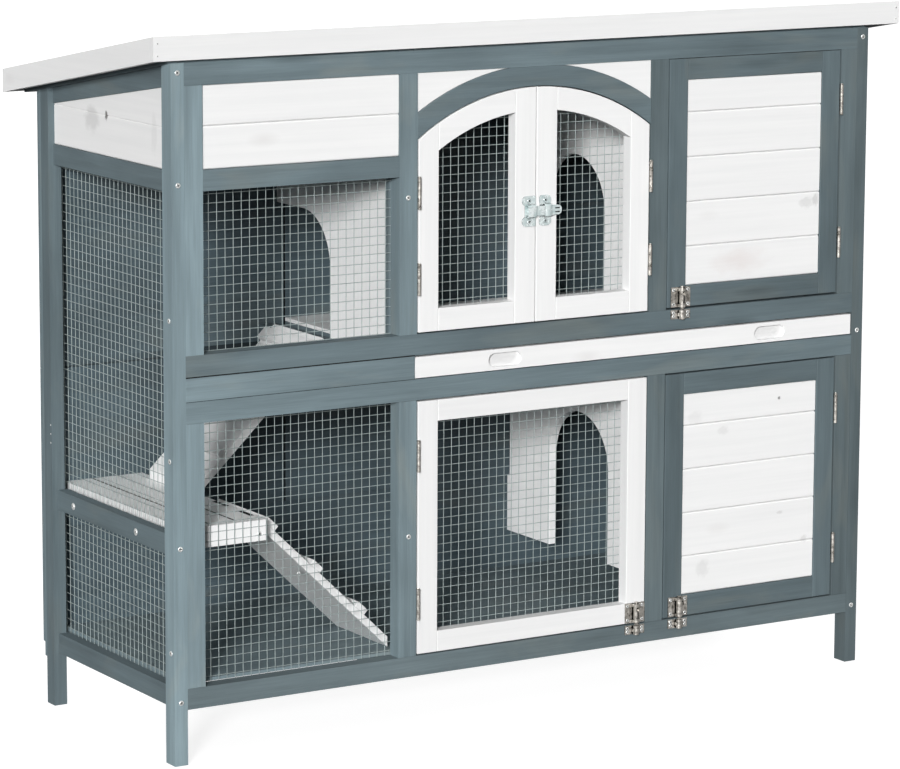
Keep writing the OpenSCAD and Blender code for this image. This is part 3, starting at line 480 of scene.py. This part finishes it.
def islands(obj):
    """Groups a mesh's faces into its separate pieces, joined where corners meet."""
    mesh = obj.data
    parent = list(range(len(mesh.vertices)))

    def find(i):
        while parent[i] != i:
            parent[i] = parent[parent[i]]
            i = parent[i]
        return i

    first = {}
    for v in mesh.vertices:
        key = tuple(round(c * 1e5) for c in v.co)
        parent[find(v.index)] = find(first.setdefault(key, v.index))
    for polygon in mesh.polygons:
        root = find(polygon.vertices[0])
        for i in polygon.vertices:
            parent[find(i)] = root
    groups = {}
    for polygon in mesh.polygons:
        groups.setdefault(find(polygon.vertices[0]), []).append(polygon)
    pieces = []
    for faces in groups.values():
        points = [mesh.vertices[i].co for p in faces for i in p.vertices]
        low = Vector(min(p[a] for p in points) for a in range(3))
        high = Vector(max(p[a] for p in points) for a in range(3))
        pieces.append((faces, low, high))
    return pieces


def soften(obj, width, weld=True):
    """Rounds a node's sharp edges a little, as planed timber and pressed steel are."""
    if weld:
        join = obj.modifiers.new("weld", "WELD")
        join.merge_threshold = 0.00001
    flat = obj.modifiers.new("flat_faces", "DECIMATE")
    flat.decimate_type = "DISSOLVE"
    flat.angle_limit = math.radians(0.5)
    flat.delimit = {"MATERIAL"}
    bevel = obj.modifiers.new("bevel", "BEVEL")
    bevel.width = width
    bevel.segments = 2
    bevel.limit_method = "ANGLE"
    bevel.angle_limit = math.radians(40)
    smooth = obj.modifiers.new("even_normals", "WEIGHTED_NORMAL")
    smooth.weight = 50
    smooth.mode = "FACE_AREA"
    smooth.keep_sharp = True


# Sheets whose grain runs along x, and the nodes that hold the uprights
GRAIN_X = {"roof_deck", "bottom_floor", "back_panels", "tray_panel", "roof_felt"}
UPRIGHTS = {"corner_posts", "upper_front_frame", "lower_front_frame"}

# How round the edges of each kind of part are
BEVEL = {"stained_wood": 0.8 * MM, "painted_wood": 0.8 * MM, "floor_board": 0.5 * MM,
         "roofing_felt": 0.4 * MM, "zinc": 0.2 * MM}

# The lower front frame's bottom rail ends below the first height, and its top rail starts
# above the second
BASE_RAIL_TOP = 0.16
TOP_RAIL_BASE = 0.42

# Nodes with one stain on all their timbers
NODE_TONE = {"left_side_frame": DARK_STAIN, "lower_solid_door_frame": DARK_STAIN,
             "upper_solid_door_frame": DARK_STAIN,
             "filler_board": FILLER_STAIN}


def timber_tone(node, low, high):
    """Picks the stain of one timber: uprights at the front vary from left to right."""
    middle = (low + high) / 2
    if node in NODE_TONE:
        return NODE_TONE[node]
    if node == "corner_posts" and middle.y > 0:
        return DARK_STAIN
    if node == "lower_front_frame" and high.z < BASE_RAIL_TOP:
        return BASE_STAIN
    if node == "lower_front_frame" and low.z > TOP_RAIL_BASE:
        return LIGHT_STAIN
    if node not in UPRIGHTS or high.x - low.x > high.z - low.z:
        return STAIN
    # Uprights are paler at the left and deeper at the right: partly each timber's own tone,
    # partly painted falloff of light across the front
    share = (middle.x - HUTCH_SPAN_X[0]) / (HUTCH_SPAN_X[1] - HUTCH_SPAN_X[0])
    if share < 0.1:
        return PALE_STAIN
    if share < 0.4:
        return LIGHT_STAIN
    return DEEP_STAIN


# How bright the white paint is on some parts against the rest; the partitions' paler paint is
# painted light, standing in for light falling on them inside the hutch
PAINT_TONE = {"roof_fascias": 0.955, "mesh_door_frame": 0.965, "left_partition": 1.13,
              "upper_right_partition": 1.13, "lower_right_partition": 1.08,
              "platform": 0.99, "upper_ramp": 1.05}


def dress(node, slot):
    """Gives a CAD node its material, with wood grain along each timber."""
    obj = NODES[node]
    choice = SLOT_MATERIAL[slot]
    if node in MARKS:
        marks = [mark_at(node, *mark) for mark in MARKS[node]]
        choice = by_axis(painted_wood, node + "_paint", marks=marks, tone=0.98)
    elif node in PAINT_TONE:
        choice = by_axis(painted_wood, node + "_paint", tone=PAINT_TONE[node])
    obj.data.materials.clear()
    if isinstance(choice, dict):
        slots = {}
        board = obj.data.attributes.new("board", "FLOAT", "FACE")
        rng = random.Random(node)
        for faces, low, high in islands(obj):
            value = rng.random()
            for polygon in faces:
                board.data[polygon.index].value = value
            size = high - low
            longest = 0 if node in GRAIN_X else max(range(3), key=lambda a: size[a])
            tones = timber_tone(node, low, high) if slot == "stained_wood" else choice
            material = tones[AXES[longest]]
            if material.name not in slots:
                slots[material.name] = len(slots)
                obj.data.materials.append(material)
            for polygon in faces:
                polygon.material_index = slots[material.name]
    else:
        obj.data.materials.append(choice)
    if slot in BEVEL:
        soften(obj, BEVEL[slot])


def paint_faces(node, material, chosen):
    """Gives the faces of a node that a test picks out another material."""
    obj = NODES[node]
    obj.data.materials.append(material)
    for polygon in obj.data.polygons:
        if chosen(polygon.center, polygon.normal):
            polygon.material_index = len(obj.data.materials) - 1


# Where the walls of gaps painted with near-black shade lie: the platform's slots from its
# inner edge and its front, the lining's upright joint as a share of its width, and how close
# a face must be
SLOT_DEPTH = 9 * MM
SLOT_START = 20 * MM
LINING_JOINT = 0.34
JOINT_REACH = 3 * MM


def shade_gaps():
    """Paints light and shade on chosen faces: near-black painted shade on the walls of narrow
    gaps between boards, painted shade in the tray front's grip, and painted light on the
    platform's top.
    """
    low, high = (Vector(c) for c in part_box("platform"))
    # Painted light: the platform's top faces get paler paint
    paint_faces("platform", PLATFORM_TOP_LIGHT, lambda c, n: n.z > 0.9 and c.z > high.z - 1 * MM)
    # Painted shade: the walls of the platform's slots are painted near-black
    paint_faces("platform", GAP_SHADE, lambda c, n: abs(n.z) < 0.5 and low.y + SLOT_START < c.y
                and high.x - SLOT_DEPTH < c.x < high.x - 0.1 * MM)
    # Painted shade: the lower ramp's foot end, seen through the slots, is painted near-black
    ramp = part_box("lower_ramp")[0][0]
    paint_faces("lower_ramp", GAP_SHADE, lambda c, n: n.x < -0.9 and c.x < ramp + 1 * MM)
    # Painted shade: the walls of the lining's upright joint are painted near-black
    low, high = (Vector(c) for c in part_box("back_panels"))
    joint = low.x + LINING_JOINT * (high.x - low.x)
    paint_faces("back_panels", GAP_SHADE, lambda c, n: abs(n.x) > 0.9
                and abs(c.x - joint) < JOINT_REACH)
    # Painted shade: the grip's walls and floor, and the tray front's back face, take darker
    # paint
    paint_faces("tray_front", GRIP_SHADE, lambda c, n: n.y > -0.5 and abs(n.y) > 0.001
                or n.y < -0.5 and c.y > FRONT_Y + 2 * MM)


def shade_lining():
    """The lining and the inner faces of the rear panels have a darker, duller stain, with
    painted shade towards the top of each storey.
    """
    obj = NODES["back_panels"]
    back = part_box("back_panels")[1][1]
    obj.data.materials.append(SHADE_STAIN["x"])
    for faces, low, high in islands(obj):
        for polygon in faces:
            if high.y < back - 1 * MM or polygon.normal.y < -0.5:
                polygon.material_index = len(obj.data.materials) - 1


for entry in frame["record"]["subparts"]:
    dress(entry["node"], entry["material_slot"])
shade_lining()
shade_gaps()


# ------------------------------------------------------------ small pieces

def new_piece(name, mesh, material, body):
    """Adds a piece that rides on a body and fills a material slot."""
    obj = bpy.data.objects.new(name, mesh)
    bpy.context.scene.collection.objects.link(obj)
    mesh.materials.append(material)
    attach(obj, body)
    return obj


def screw_head(bm, place, radius, height, washer=0.0):
    """Adds a domed head with a cross recess painted dark as shade, and a washer under it if
    asked.
    """
    rings = 9
    steps = 40
    arm = 0.15 * radius
    reach = 0.66 * radius
    rows = []
    outline = []
    if washer:
        outline += [(washer, -height * 0.15), (washer, height * 0.12),
                    (radius * 1.06, height * 0.20)]
    outline += [(radius, -height * 0.15), (radius, height * 0.25)]
    for i in range(rings):
        angle = math.pi / 2 * (i + 1) / rings
        outline.append((radius * math.cos(angle) + 1e-6,
                        height * (0.25 + 0.75 * math.sin(angle))))
    for r, z in outline:
        row = []
        for k in range(steps):
            a = 2 * math.pi * k / steps
            x, y = r * math.cos(a), r * math.sin(a)
            sunk = max(abs(x), abs(y)) < reach and min(abs(x), abs(y)) < arm * 1.3
            depth = z - 0.55 * height if sunk else z
            row.append((bm.verts.new(place @ Vector((x, y, depth))), sunk))
        rows.append(row)
    for a, b in zip(rows, rows[1:]):
        for k in range(steps):
            n = (k + 1) % steps
            corners = (a[k], a[n], b[n], b[k])
            face = bm.faces.new([vert for vert, _ in corners])
            # Faces sunk in the cross recess take the second material: painted shade
            face.material_index = 1 if sum(sunk for _, sunk in corners) > 2 else 0
    bm.faces.new([vert for vert, _ in rows[-1]]).material_index = 1
    bm.faces.new([vert for vert, _ in reversed(rows[0])])


def facing(point, direction):
    """A placement whose z axis points along direction, from the given point."""
    turn = Vector(direction).to_track_quat("Z", "Y").to_matrix().to_4x4()
    return Matrix.Translation(point) @ turn


def mesh_of(name, bm, smooth=True):
    """Turns a finished bmesh into a mesh, with its normals outwards."""
    bmesh.ops.recalc_face_normals(bm, faces=bm.faces)
    mesh = bpy.data.meshes.new(name)
    bm.to_mesh(mesh)
    bm.free()
    for polygon in mesh.polygons:
        polygon.use_smooth = smooth
    return mesh


# Heads of the frame's screws and nails: height, and the washer's size against the head
SCREW_HEAD = 1.4 * MM
NAIL_HEAD = 0.6 * MM
SCREW_RADIUS = 2 * MM
WASHER = 1.45


def frame_screws():
    """Screw and nail heads where the CAD has them, with cross recesses."""
    bm = bmesh.new()
    rng = random.Random(4)
    for faces, low, high in islands(NODES["frame_fasteners"]):
        size = high - low
        axis = max(range(3), key=lambda a: size[a])
        across = size[(axis + 1) % 3]
        centre = (low + high) / 2
        tip = centre.copy()
        tip[axis] = low[axis]
        direction = Vector((0, 0, 0))
        direction[axis] = -1
        radius = across / 2
        height = SCREW_HEAD if radius > SCREW_RADIUS else NAIL_HEAD
        tip = tip - direction * height
        spin = Matrix.Rotation(rng.uniform(0, math.pi), 4, "Z")
        washered = axis == 0 and low[0] > cad_box[0][0] + 30 * MM
        screw_head(bm, facing(tip, direction) @ spin, radius, height,
                   washer=radius * WASHER if washered else 0.0)
    piece = new_piece("screw_heads", mesh_of("screw_heads", bm), SCREW, "hutch")
    # The second material is the recesses' painted shade
    piece.data.materials.append(RECESS_SHADE)
    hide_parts("frame_fasteners")


# A latch plate's corner screws: how far in, on what thickness of plate, radius and height
PLATE_INSET = 4.2 * MM
PLATE_FACE = 1.5 * MM
PLATE_SCREW = (2.6 * MM, 1.0 * MM)


def plate_screws(name, node, body):
    """Four small screws at the corners of each latch plate of a node."""
    bm = bmesh.new()
    rng = random.Random(len(name))
    for faces, low, high in islands(NODES[node]):
        plate_y = high.y - PLATE_FACE
        for x in (low.x + PLATE_INSET, high.x - PLATE_INSET):
            for z in (low.z + PLATE_INSET, high.z - PLATE_INSET):
                spin = Matrix.Rotation(rng.uniform(0, math.pi), 4, "Z")
                place = facing(Vector((x, plate_y, z)), (0, -1, 0)) @ spin
                screw_head(bm, place, *PLATE_SCREW)
    piece = new_piece(name, mesh_of(name, bm), SCREW, body)
    # The second material is the recesses' painted shade
    piece.data.materials.append(RECESS_SHADE)


def arc(centre, radius, start, end, steps=8):
    """Points along an arc, between two angles in degrees."""
    points = []
    for i in range(steps + 1):
        a = math.radians(start + (end - start) * i / steps)
        points.append((centre[0] + radius * math.cos(a), centre[1] + radius * math.sin(a)))
    return points


def rounded_outline(x, z, radii):
    """A rectangle with its own radius at each corner, from the lower left, in order."""
    corners = ((x[0], z[0], 180), (x[1], z[0], 270), (x[1], z[1], 0), (x[0], z[1], 90))
    points = []
    for (cx, cz, start), r in zip(corners, radii):
        centre = (cx + (r if cx == x[0] else -r), cz + (r if cz == z[0] else -r))
        points += arc(centre, r, start, start + 90)
    return points


def loft(bm, rings):
    """Joins closed rings of points, one after another, into a solid."""
    rows = [[bm.verts.new(point) for point in ring] for ring in rings]
    count = len(rows[0])
    for a, b in zip(rows, rows[1:]):
        for k in range(count):
            n = (k + 1) % count
            bm.faces.new((a[k], a[n], b[n], b[k]))
    bm.faces.new(rows[0])
    bm.faces.new(list(reversed(rows[-1])))


def slab(bm, outline, y0, y1):
    """Extrudes an (x, z) outline along y."""
    loft(bm, [[(x, y, z) for x, z in outline] for y in (y0, y1)])


# The middle latch: plate thickness, height of an ear, half heights over the ears, at the
# waist and of the bolt, its screws' radius and height, and how round a pressed edge is
PLATE_T = 1.4 * MM
EAR = 14 * MM
REACH = 21.9 * MM
WAIST = 10.5 * MM
BAR_HALF = 7 * MM
EAR_SCREW = (3.3 * MM, 1.3 * MM)
PRESSED_EDGE = 0.35 * MM


def bridge(bm, x, zc, bulge):
    """A pressed strap that arches over the flat bolt, swelling a little on its face."""
    stations = 8
    rings = []
    for i in range(stations + 1):
        share = i / stations
        # Half of the section, as (height, y) in millimetres: the outside, then the inside
        front = -6.0 - bulge / MM * math.sin(math.pi * share)
        half = [(10.4, -1.3), (8.9, -1.6), (8.5, front + 0.9), (7.6, front)]
        inner = [(7.3, -5.62), (7.3, -1.3)]
        side = half + [(-z, y) for z, y in reversed(half)] + [(-z, y) for z, y in inner[::-1]]
        ring = side + inner
        rings.append([(x[0] + share * (x[1] - x[0]), y * MM, zc + z * MM)
                      for z, y in ring])
    loft(bm, rings)


def lobed_plate(bm, x, zc, outer_r, inner_r, waist_in):
    """A plate with a rounded ear above and below its waist."""
    radii = (outer_r, inner_r, inner_r, outer_r)
    for z in ((zc + REACH - EAR, zc + REACH), (zc - REACH, zc - REACH + EAR)):
        slab(bm, rounded_outline(x, z, radii), -PLATE_T, 0)
    waist = (x[0] + waist_in, x[1])
    slab(bm, rounded_outline(waist, (zc - WAIST, zc + WAIST), (1 * MM,) * 4),
         -PLATE_T + 0.2 * MM, 0)


def finish_metal(name, bm, material, body, node=None):
    """Moves a fitting on to the front of the hutch and makes it a piece."""
    bmesh.ops.translate(bm, vec=(0, FRONT_Y, 0), verts=bm.verts)
    piece = new_piece(name, mesh_of(name, bm), material, body)
    soften(piece, PRESSED_EDGE, weld=False)
    if node:
        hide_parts(node)


def middle_latch():
    """The latch between the arched doors: two lobed plates, their straps and a bolt."""
    low, high = (Vector(c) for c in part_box("left_arch_door_keeper"))
    zc = (low.z + high.z) / 2
    bm = bmesh.new()
    lobed_plate(bm, (low.x - 2.5 * MM, high.x), zc, 6.4 * MM, 2.2 * MM, 4.5 * MM)
    bridge(bm, (low.x + 5 * MM, high.x - 1 * MM), zc, 0.5 * MM)
    finish_metal("middle_latch_keeper", bm, ZINC_PAINTED_REFLECTION, "left_arch_door",
                 "left_arch_door_keeper")
    low, high = (Vector(c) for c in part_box("right_arch_door_latch"))
    bm = bmesh.new()
    lobed_plate(bm, (low.x - 0.6 * MM, high.x + 3 * MM), zc, 4.6 * MM, 6.4 * MM, 1 * MM)
    bridge(bm, (low.x + 6.5 * MM, high.x + 2.2 * MM), zc, 1.5 * MM)
    finish_metal("middle_latch_base", bm, ZINC_PAINTED_REFLECTION, "right_arch_door",
                 "right_arch_door_latch")
    flat_bolt(zc)


def flat_bolt(zc):
    """The middle latch's bolt: a flat bar with a round nose, and two near-black marks on it
    as painted shade of dents.
    """
    low, high = (Vector(c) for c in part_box("right_arch_door_bolt"))
    bm = bmesh.new()
    nose = BAR_HALF - 1.5 * MM
    high.x -= 3 * MM
    bar = rounded_outline((low.x, high.x), (zc - BAR_HALF, zc + BAR_HALF),
                          (1 * MM, nose, nose, 1 * MM))
    slab(bm, bar, -5.4 * MM, -1.5 * MM)
    finish_metal("middle_latch_bolt", bm, ZINC_PAINTED_REFLECTION, "right_arch_door_bolt",
                 "right_arch_door_bolt")
    bm = bmesh.new()
    # Two thin near-black slabs on the bar's face: painted shade standing in for two dents
    for dz in (-2.8, 2.8):
        dent = rounded_outline((high.x - 11.5 * MM, high.x - 3.5 * MM),
                               (zc + (dz - 0.9) * MM, zc + (dz + 0.9) * MM),
                               (0.7 * MM,) * 4)
        slab(bm, dent, -5.5 * MM, -5.3 * MM)
    finish_metal("middle_latch_dent_shade", bm, RECESS_SHADE, "right_arch_door_bolt")


def ear_screws(name, node, body, shift):
    """One cross-headed screw in each ear of the middle latch."""
    low, high = (Vector(c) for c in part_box(node))
    zc = (low.z + high.z) / 2
    bm = bmesh.new()
    for side, spin in ((-1, 0.3), (1, 0.9)):
        point = Vector(((low.x + high.x) / 2 + shift, FRONT_Y - PLATE_T,
                        zc + side * (REACH - EAR / 2)))
        screw_head(bm, facing(point, (0, -1, 0)) @ Matrix.Rotation(spin, 4, "Z"),
                   *EAR_SCREW)
    piece = new_piece(name, mesh_of(name, bm), ZINC_PAINTED_REFLECTION, body)
    # The second material is the recesses' painted shade
    piece.data.materials.append(RECESS_SHADE)


# The upright latches: their barrels' radius and axis, their bands' radius, and their doors
BARREL_R = 4.3 * MM
BARREL_Y = -5.3 * MM
BAND_R = BARREL_R + 0.7 * MM
BARREL_DOORS = ("mesh_door", "upper_solid_door", "lower_solid_door")


def band(bm, x, z0, z1):
    """A pressed band across a latch plate that wraps over its barrel."""
    def path(radius, foot, toe):
        side = [(-10.5 * MM, foot), (-9.5 * MM, toe), (-radius - 0.6 * MM, toe)]
        over = [(px, BARREL_Y + py) for px, py in arc((0, 0), radius, 195, 345, 12)]
        return side + over + [(-px, py) for px, py in reversed(side)]

    outer = path(BAND_R, -1.3 * MM, -2.4 * MM)
    inner = path(BARREL_R - 0.15 * MM, -1.2 * MM, -1.3 * MM)
    outline = [(x + px, py) for px, py in outer + inner[::-1]]
    loft(bm, [[(px, y, z) for px, y in outline] for z in (z0, z1)])


def latch_bands():
    """Two bands and two ribs on each upright latch, and a band on each keeper."""
    for door in BARREL_DOORS:
        low, high = (Vector(c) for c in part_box(door + "_latch"))
        x = (low.x + high.x) / 2
        bm = bmesh.new()
        band(bm, x, low.z + 0.6 * MM, low.z + 4.6 * MM)
        band(bm, x, high.z - 5.4 * MM, high.z - 0.8 * MM)
        for side in (-1, 1):
            rib = sorted((x + side * 7 * MM, x + side * 8.2 * MM))
            slab(bm, rounded_outline(rib, (low.z + 6 * MM, high.z - 7 * MM),
                                     (0.5 * MM,) * 4), -2.4 * MM, -1.3 * MM)
        finish_metal(door + "_latch_bands", bm, ZINC, door)
    bm = bmesh.new()
    for faces, low, high in islands(NODES["rail_keepers"]):
        x = (low.x + high.x) / 2
        band(bm, x, low.z + 4.2 * MM, high.z - 4.2 * MM)
    finish_metal("keeper_bands", bm, ZINC, "hutch")


# -------------------------------------------------------- roof and rear wall

ROOF_ANGLE = math.radians(10)
ROOF_FALL = math.tan(ROOF_ANGLE)
ROOF_TILT = Matrix.Rotation(-ROOF_ANGLE, 4, "X")


def roof_point(x, y):
    """A point on the top of the felt."""
    low, high = (Vector(c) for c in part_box("roof_felt"))
    return Vector((x, y, high.z - (y - low.y) * ROOF_FALL))


# The felt's laps: how wide they are, where they end as shares of the roof's depth, and how
# many pieces their edges wander in
LAP = 55 * MM
LAP_ENDS = (0.34, 0.67)
LAP_COLUMNS = 60


def felt_laps():
    """The overlaps of the felt's courses, as thin tapered strips."""
    low, high = (Vector(c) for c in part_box("roof_felt"))
    bm = bmesh.new()
    rng = random.Random(11)
    for share in LAP_ENDS:
        y = low.y + share * (high.y - low.y)
        rings = []
        for i in range(LAP_COLUMNS + 1):
            x = low.x + 1 * MM + (high.x - low.x - 2 * MM) * i / LAP_COLUMNS
            edge = y + rng.uniform(-0.7, 0.7) * MM
            back, front = roof_point(x, edge), roof_point(x, edge - LAP)
            lift = (1.7 + rng.uniform(-0.2, 0.3)) * MM
            rings.append([front + Vector((0, 0, -0.5 * MM)), front + Vector((0, 0, 0.2 * MM)),
                          back + Vector((0, 0, lift)), back + Vector((0, 0, -0.5 * MM))])
        loft(bm, rings)
    new_piece("felt_laps", mesh_of("felt_laps", bm, smooth=False), FELT, "hutch")


def nail_disc(bm, point, direction, radius, height):
    """A slightly domed flat nail head."""
    place = facing(point, direction)
    rings = []
    for r, z in ((radius, -0.3 * height), (radius, 0.5 * height),
                 (0.8 * radius, 0.85 * height), (0.3 * radius, height)):
        rings.append([place @ Vector((r * math.cos(a), r * math.sin(a), z))
                      for a in (2 * math.pi * k / 14 for k in range(14))])
    loft(bm, rings)


def spaced(a, b, pitch):
    """Even steps from a to b, about a pitch apart."""
    count = max(1, round((b - a) / pitch))
    return [a + (b - a) * i / count for i in range(count + 1)]


# Radius and height of the roof's clout nails, the rear wall's pins and the post's pins
CLOUT = (4.5 * MM, 0.9 * MM)
PANEL_PIN = (2.2 * MM, 0.5 * MM)
POST_PIN = (1.3 * MM, 0.4 * MM)

# How far in from the edges the clouts and the panel pins stand, and how far apart: along
# the roof and down it, up the panels and along them
CLOUT_INSET = 9 * MM
CLOUT_PITCH = (85 * MM, 80 * MM)
PANEL_PIN_INSET = (10 * MM, 12 * MM)
PANEL_PIN_PITCH = (95 * MM, 120 * MM)

# The row of pins in the left rear post: how far back and how high its top one is
PIN_ROW = (0.1555, 0.4155)
PIN_PITCH = 13 * MM


def nails():
    """Clout nails round the felt, and pins in the rear panels and one rear post."""
    low, high = (Vector(c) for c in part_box("roof_felt"))
    up = ROOF_TILT @ Vector((0, 0, 1))
    left, right = low.x + CLOUT_INSET, high.x - CLOUT_INSET
    front, rear = low.y + CLOUT_INSET, high.y - CLOUT_INSET
    bm = bmesh.new()
    for x in spaced(left, right, CLOUT_PITCH[0]):
        for y in (front, rear):
            nail_disc(bm, roof_point(x, y), up, *CLOUT)
    for y in spaced(front, rear, CLOUT_PITCH[1])[1:-1]:
        for x in (left, right):
            nail_disc(bm, roof_point(x, y), up, *CLOUT)
    low, high = (Vector(c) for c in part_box("back_panels"))
    side, foot = PANEL_PIN_INSET
    top = low.z + 0.85 * (high.z - low.z)
    for z in spaced(low.z + foot, top, PANEL_PIN_PITCH[0]):
        for x in (low.x + side, high.x - side):
            nail_disc(bm, Vector((x, high.y, z)), (0, 1, 0), *PANEL_PIN)
    for x in spaced(low.x + 60 * MM, high.x - 60 * MM, PANEL_PIN_PITCH[1]):
        nail_disc(bm, Vector((x, high.y, low.z + foot)), (0, 1, 0), *PANEL_PIN)
    post = min((p for p in islands(NODES["corner_posts"]) if p[1].y > 0),
               key=lambda p: p[1].x)
    for i in range(3):
        point = Vector((post[1].x, PIN_ROW[0], PIN_ROW[1] - i * PIN_PITCH))
        nail_disc(bm, point, (-1, 0, 0), *POST_PIN)
    new_piece("pins_and_clouts", mesh_of("pins_and_clouts", bm), SCREW, "hutch")


def thin_box(bm, low, high):
    """A plain bar between two corners."""
    ring = [(low[0], low[1]), (high[0], low[1]), (high[0], high[1]), (low[0], high[1])]
    loft(bm, [[(x, y, z) for x, y in ring] for z in (low[2], high[2])])


# Half the width of the painted shade strips in the joints between planks, and the ramp's
# screw: how far along the ramp's front face and how high above its foot
PLANK_JOINT = 1.5 * MM
RAMP_SCREW = (62 * MM, 124 * MM)


def platform_details():
    """Painted shade: dark strips in the joints between the platform's planks and a dark sheet
    under its slots; and a ramp screw.
    """
    low, high = (Vector(c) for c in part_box("platform"))
    # Near-black strips along the plank joints: painted shade
    bm = bmesh.new()
    for share in (1 / 3, 2 / 3):
        x = low.x + share * (high.x - low.x)
        thin_box(bm, (x - PLANK_JOINT, low.y + 14 * MM, high.z - 0.3 * MM),
                 (x + PLANK_JOINT, high.y - 2 * MM, high.z + 0.15 * MM))
    new_piece("platform_joint_shade", mesh_of("platform_joint_shade", bm, smooth=False), GAP_SHADE,
              "hutch")
    # A thin near-black sheet under the platform's slots: painted shade seen through them
    bm = bmesh.new()
    thin_box(bm, (high.x - 14 * MM, low.y + 48 * MM, high.z - 15.5 * MM),
             (high.x - 0.5 * MM, low.y + 175 * MM, high.z - 14 * MM))
    new_piece("slot_shade_sheet", mesh_of("slot_shade_sheet", bm, smooth=False), RECESS_SHADE, "hutch")
    low, high = (Vector(c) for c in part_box("lower_ramp"))
    point = low + Vector((RAMP_SCREW[0], 0, RAMP_SCREW[1]))
    bm = bmesh.new()
    screw_head(bm, facing(point, (0, -1, 0)), 3.2 * MM, 1.2 * MM)
    piece = new_piece("ramp_screw", mesh_of("ramp_screw", bm), SCREW, "hutch")
    # The second material is the recess's painted shade
    piece.data.materials.append(RECESS_SHADE)


# Half the heights of the strips of painted shade in the joints below and above the filler
# board
FILLER_JOINTS = (0.3 * MM, 0.9 * MM)


def filler_joint_shade():
    """Near-black strips as painted shade in the joints below and above the filler board, at
    the front.
    """
    low, high = (Vector(c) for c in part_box("filler_board"))
    bm = bmesh.new()
    for z, half in zip((low.z, high.z), FILLER_JOINTS):
        thin_box(bm, (low.x, FRONT_Y - 0.12 * MM, z - half),
                 (high.x, FRONT_Y + 0.5 * MM, z + half))
    new_piece("filler_joint_shade", mesh_of("filler_joint_shade", bm, smooth=False), GAP_SHADE, "hutch")


platform_details()
filler_joint_shade()
frame_screws()
middle_latch()
latch_bands()
felt_laps()
nails()
plate_screws("keeper_screws", "rail_keepers", "hutch")
for door in BARREL_DOORS:
    plate_screws(door + "_latch_screws", door + "_latch", door)
ear_screws("left_arch_door_keeper_screws", "left_arch_door_keeper", "left_arch_door",
           -1.2 * MM)
ear_screws("right_arch_door_latch_screws", "right_arch_door_latch", "right_arch_door",
           1.2 * MM)


# ------------------------------------------------------------------ studio

def seen_only_by_camera(obj):
    """Keeps a stage piece out of the object's own light and reflections."""
    obj.visible_diffuse = False
    obj.visible_glossy = False
    obj.visible_transmission = False
    obj.visible_shadow = False


def make_stage():
    """A pale floor, and a white dome behind everything."""
    size = 60
    bm = bmesh.new()
    bmesh.ops.create_grid(bm, x_segments=1, y_segments=1, size=size)
    floor = bpy.data.objects.new("floor", mesh_of("floor", bm, smooth=False))
    floor.data.materials.append(floor_paint("floor"))
    bm = bmesh.new()
    bmesh.ops.create_uvsphere(bm, u_segments=32, v_segments=16, radius=size * 0.9)
    dome = bpy.data.objects.new("backdrop", mesh_of("backdrop", bm))
    dome.data.materials.append(backdrop_paint("backdrop"))
    for obj in (floor, dome):
        bpy.context.scene.collection.objects.link(obj)
        seen_only_by_camera(obj)


def sun(name, towards, strength, spread):
    """A distant soft light; towards points from the object to the light."""
    data = bpy.data.lights.new(name, "SUN")
    data.energy = strength * math.pi
    data.angle = math.radians(spread)
    light = bpy.data.objects.new(name, data)
    light.matrix_world = facing(Vector((0, 0, 3)), Vector(towards))
    bpy.context.scene.collection.objects.link(light)


# Each distant light: where it stands, how strong it is, and how wide in degrees
SUNS = {"key": ((-0.616, -0.751, 0.240), 1.36, 12),
        "fill": ((-0.45, -0.35, 0.82), 0.18, 60),
        "back": ((0.55, 0.70, 0.45), 0.85, 40)}

# The studio's brightness as light, and as what polished metal reflects
STUDIO_LIGHT = 0.055
STUDIO_GLOSS = 0.75


def make_light():
    """A dim white studio that metal sees brighter, and three distant lights."""
    world = bpy.data.worlds.new("studio")
    world.use_nodes = True
    background = world.node_tree.nodes["Background"]
    background.inputs["Color"].default_value = (1.0, 1.0, 1.0, 1)
    background.inputs["Strength"].default_value = STUDIO_LIGHT
    nodes, links = world.node_tree.nodes, world.node_tree.links
    bright = nodes.new("ShaderNodeBackground")
    ramp = nodes.new("ShaderNodeValToRGB")
    split = nodes.new("ShaderNodeSeparateXYZ")
    where = nodes.new("ShaderNodeTexCoord")
    path = nodes.new("ShaderNodeLightPath")
    mix = nodes.new("ShaderNodeMixShader")
    ramp.color_ramp.elements[0].position = 0.0
    ramp.color_ramp.elements[0].color = (0.45, 0.45, 0.45, 1)
    ramp.color_ramp.elements[1].position = 0.35
    ramp.color_ramp.elements[1].color = (1, 1, 1, 1)
    bright.inputs["Strength"].default_value = STUDIO_GLOSS
    links.new(where.outputs["Generated"], split.inputs[0])
    links.new(split.outputs["Z"], ramp.inputs["Fac"])
    links.new(ramp.outputs["Color"], bright.inputs["Color"])
    links.new(path.outputs["Is Glossy Ray"], mix.inputs[0])
    links.new(background.outputs[0], mix.inputs[1])
    links.new(bright.outputs[0], mix.inputs[2])
    links.new(mix.outputs[0], nodes["World Output"].inputs[0])
    bpy.context.scene.world = world
    for name, (towards, strength, spread) in SUNS.items():
        sun(name, towards, strength, spread)


make_camera()
make_stage()
make_light()
bpy.context.scene.view_settings.view_transform = "Standard"
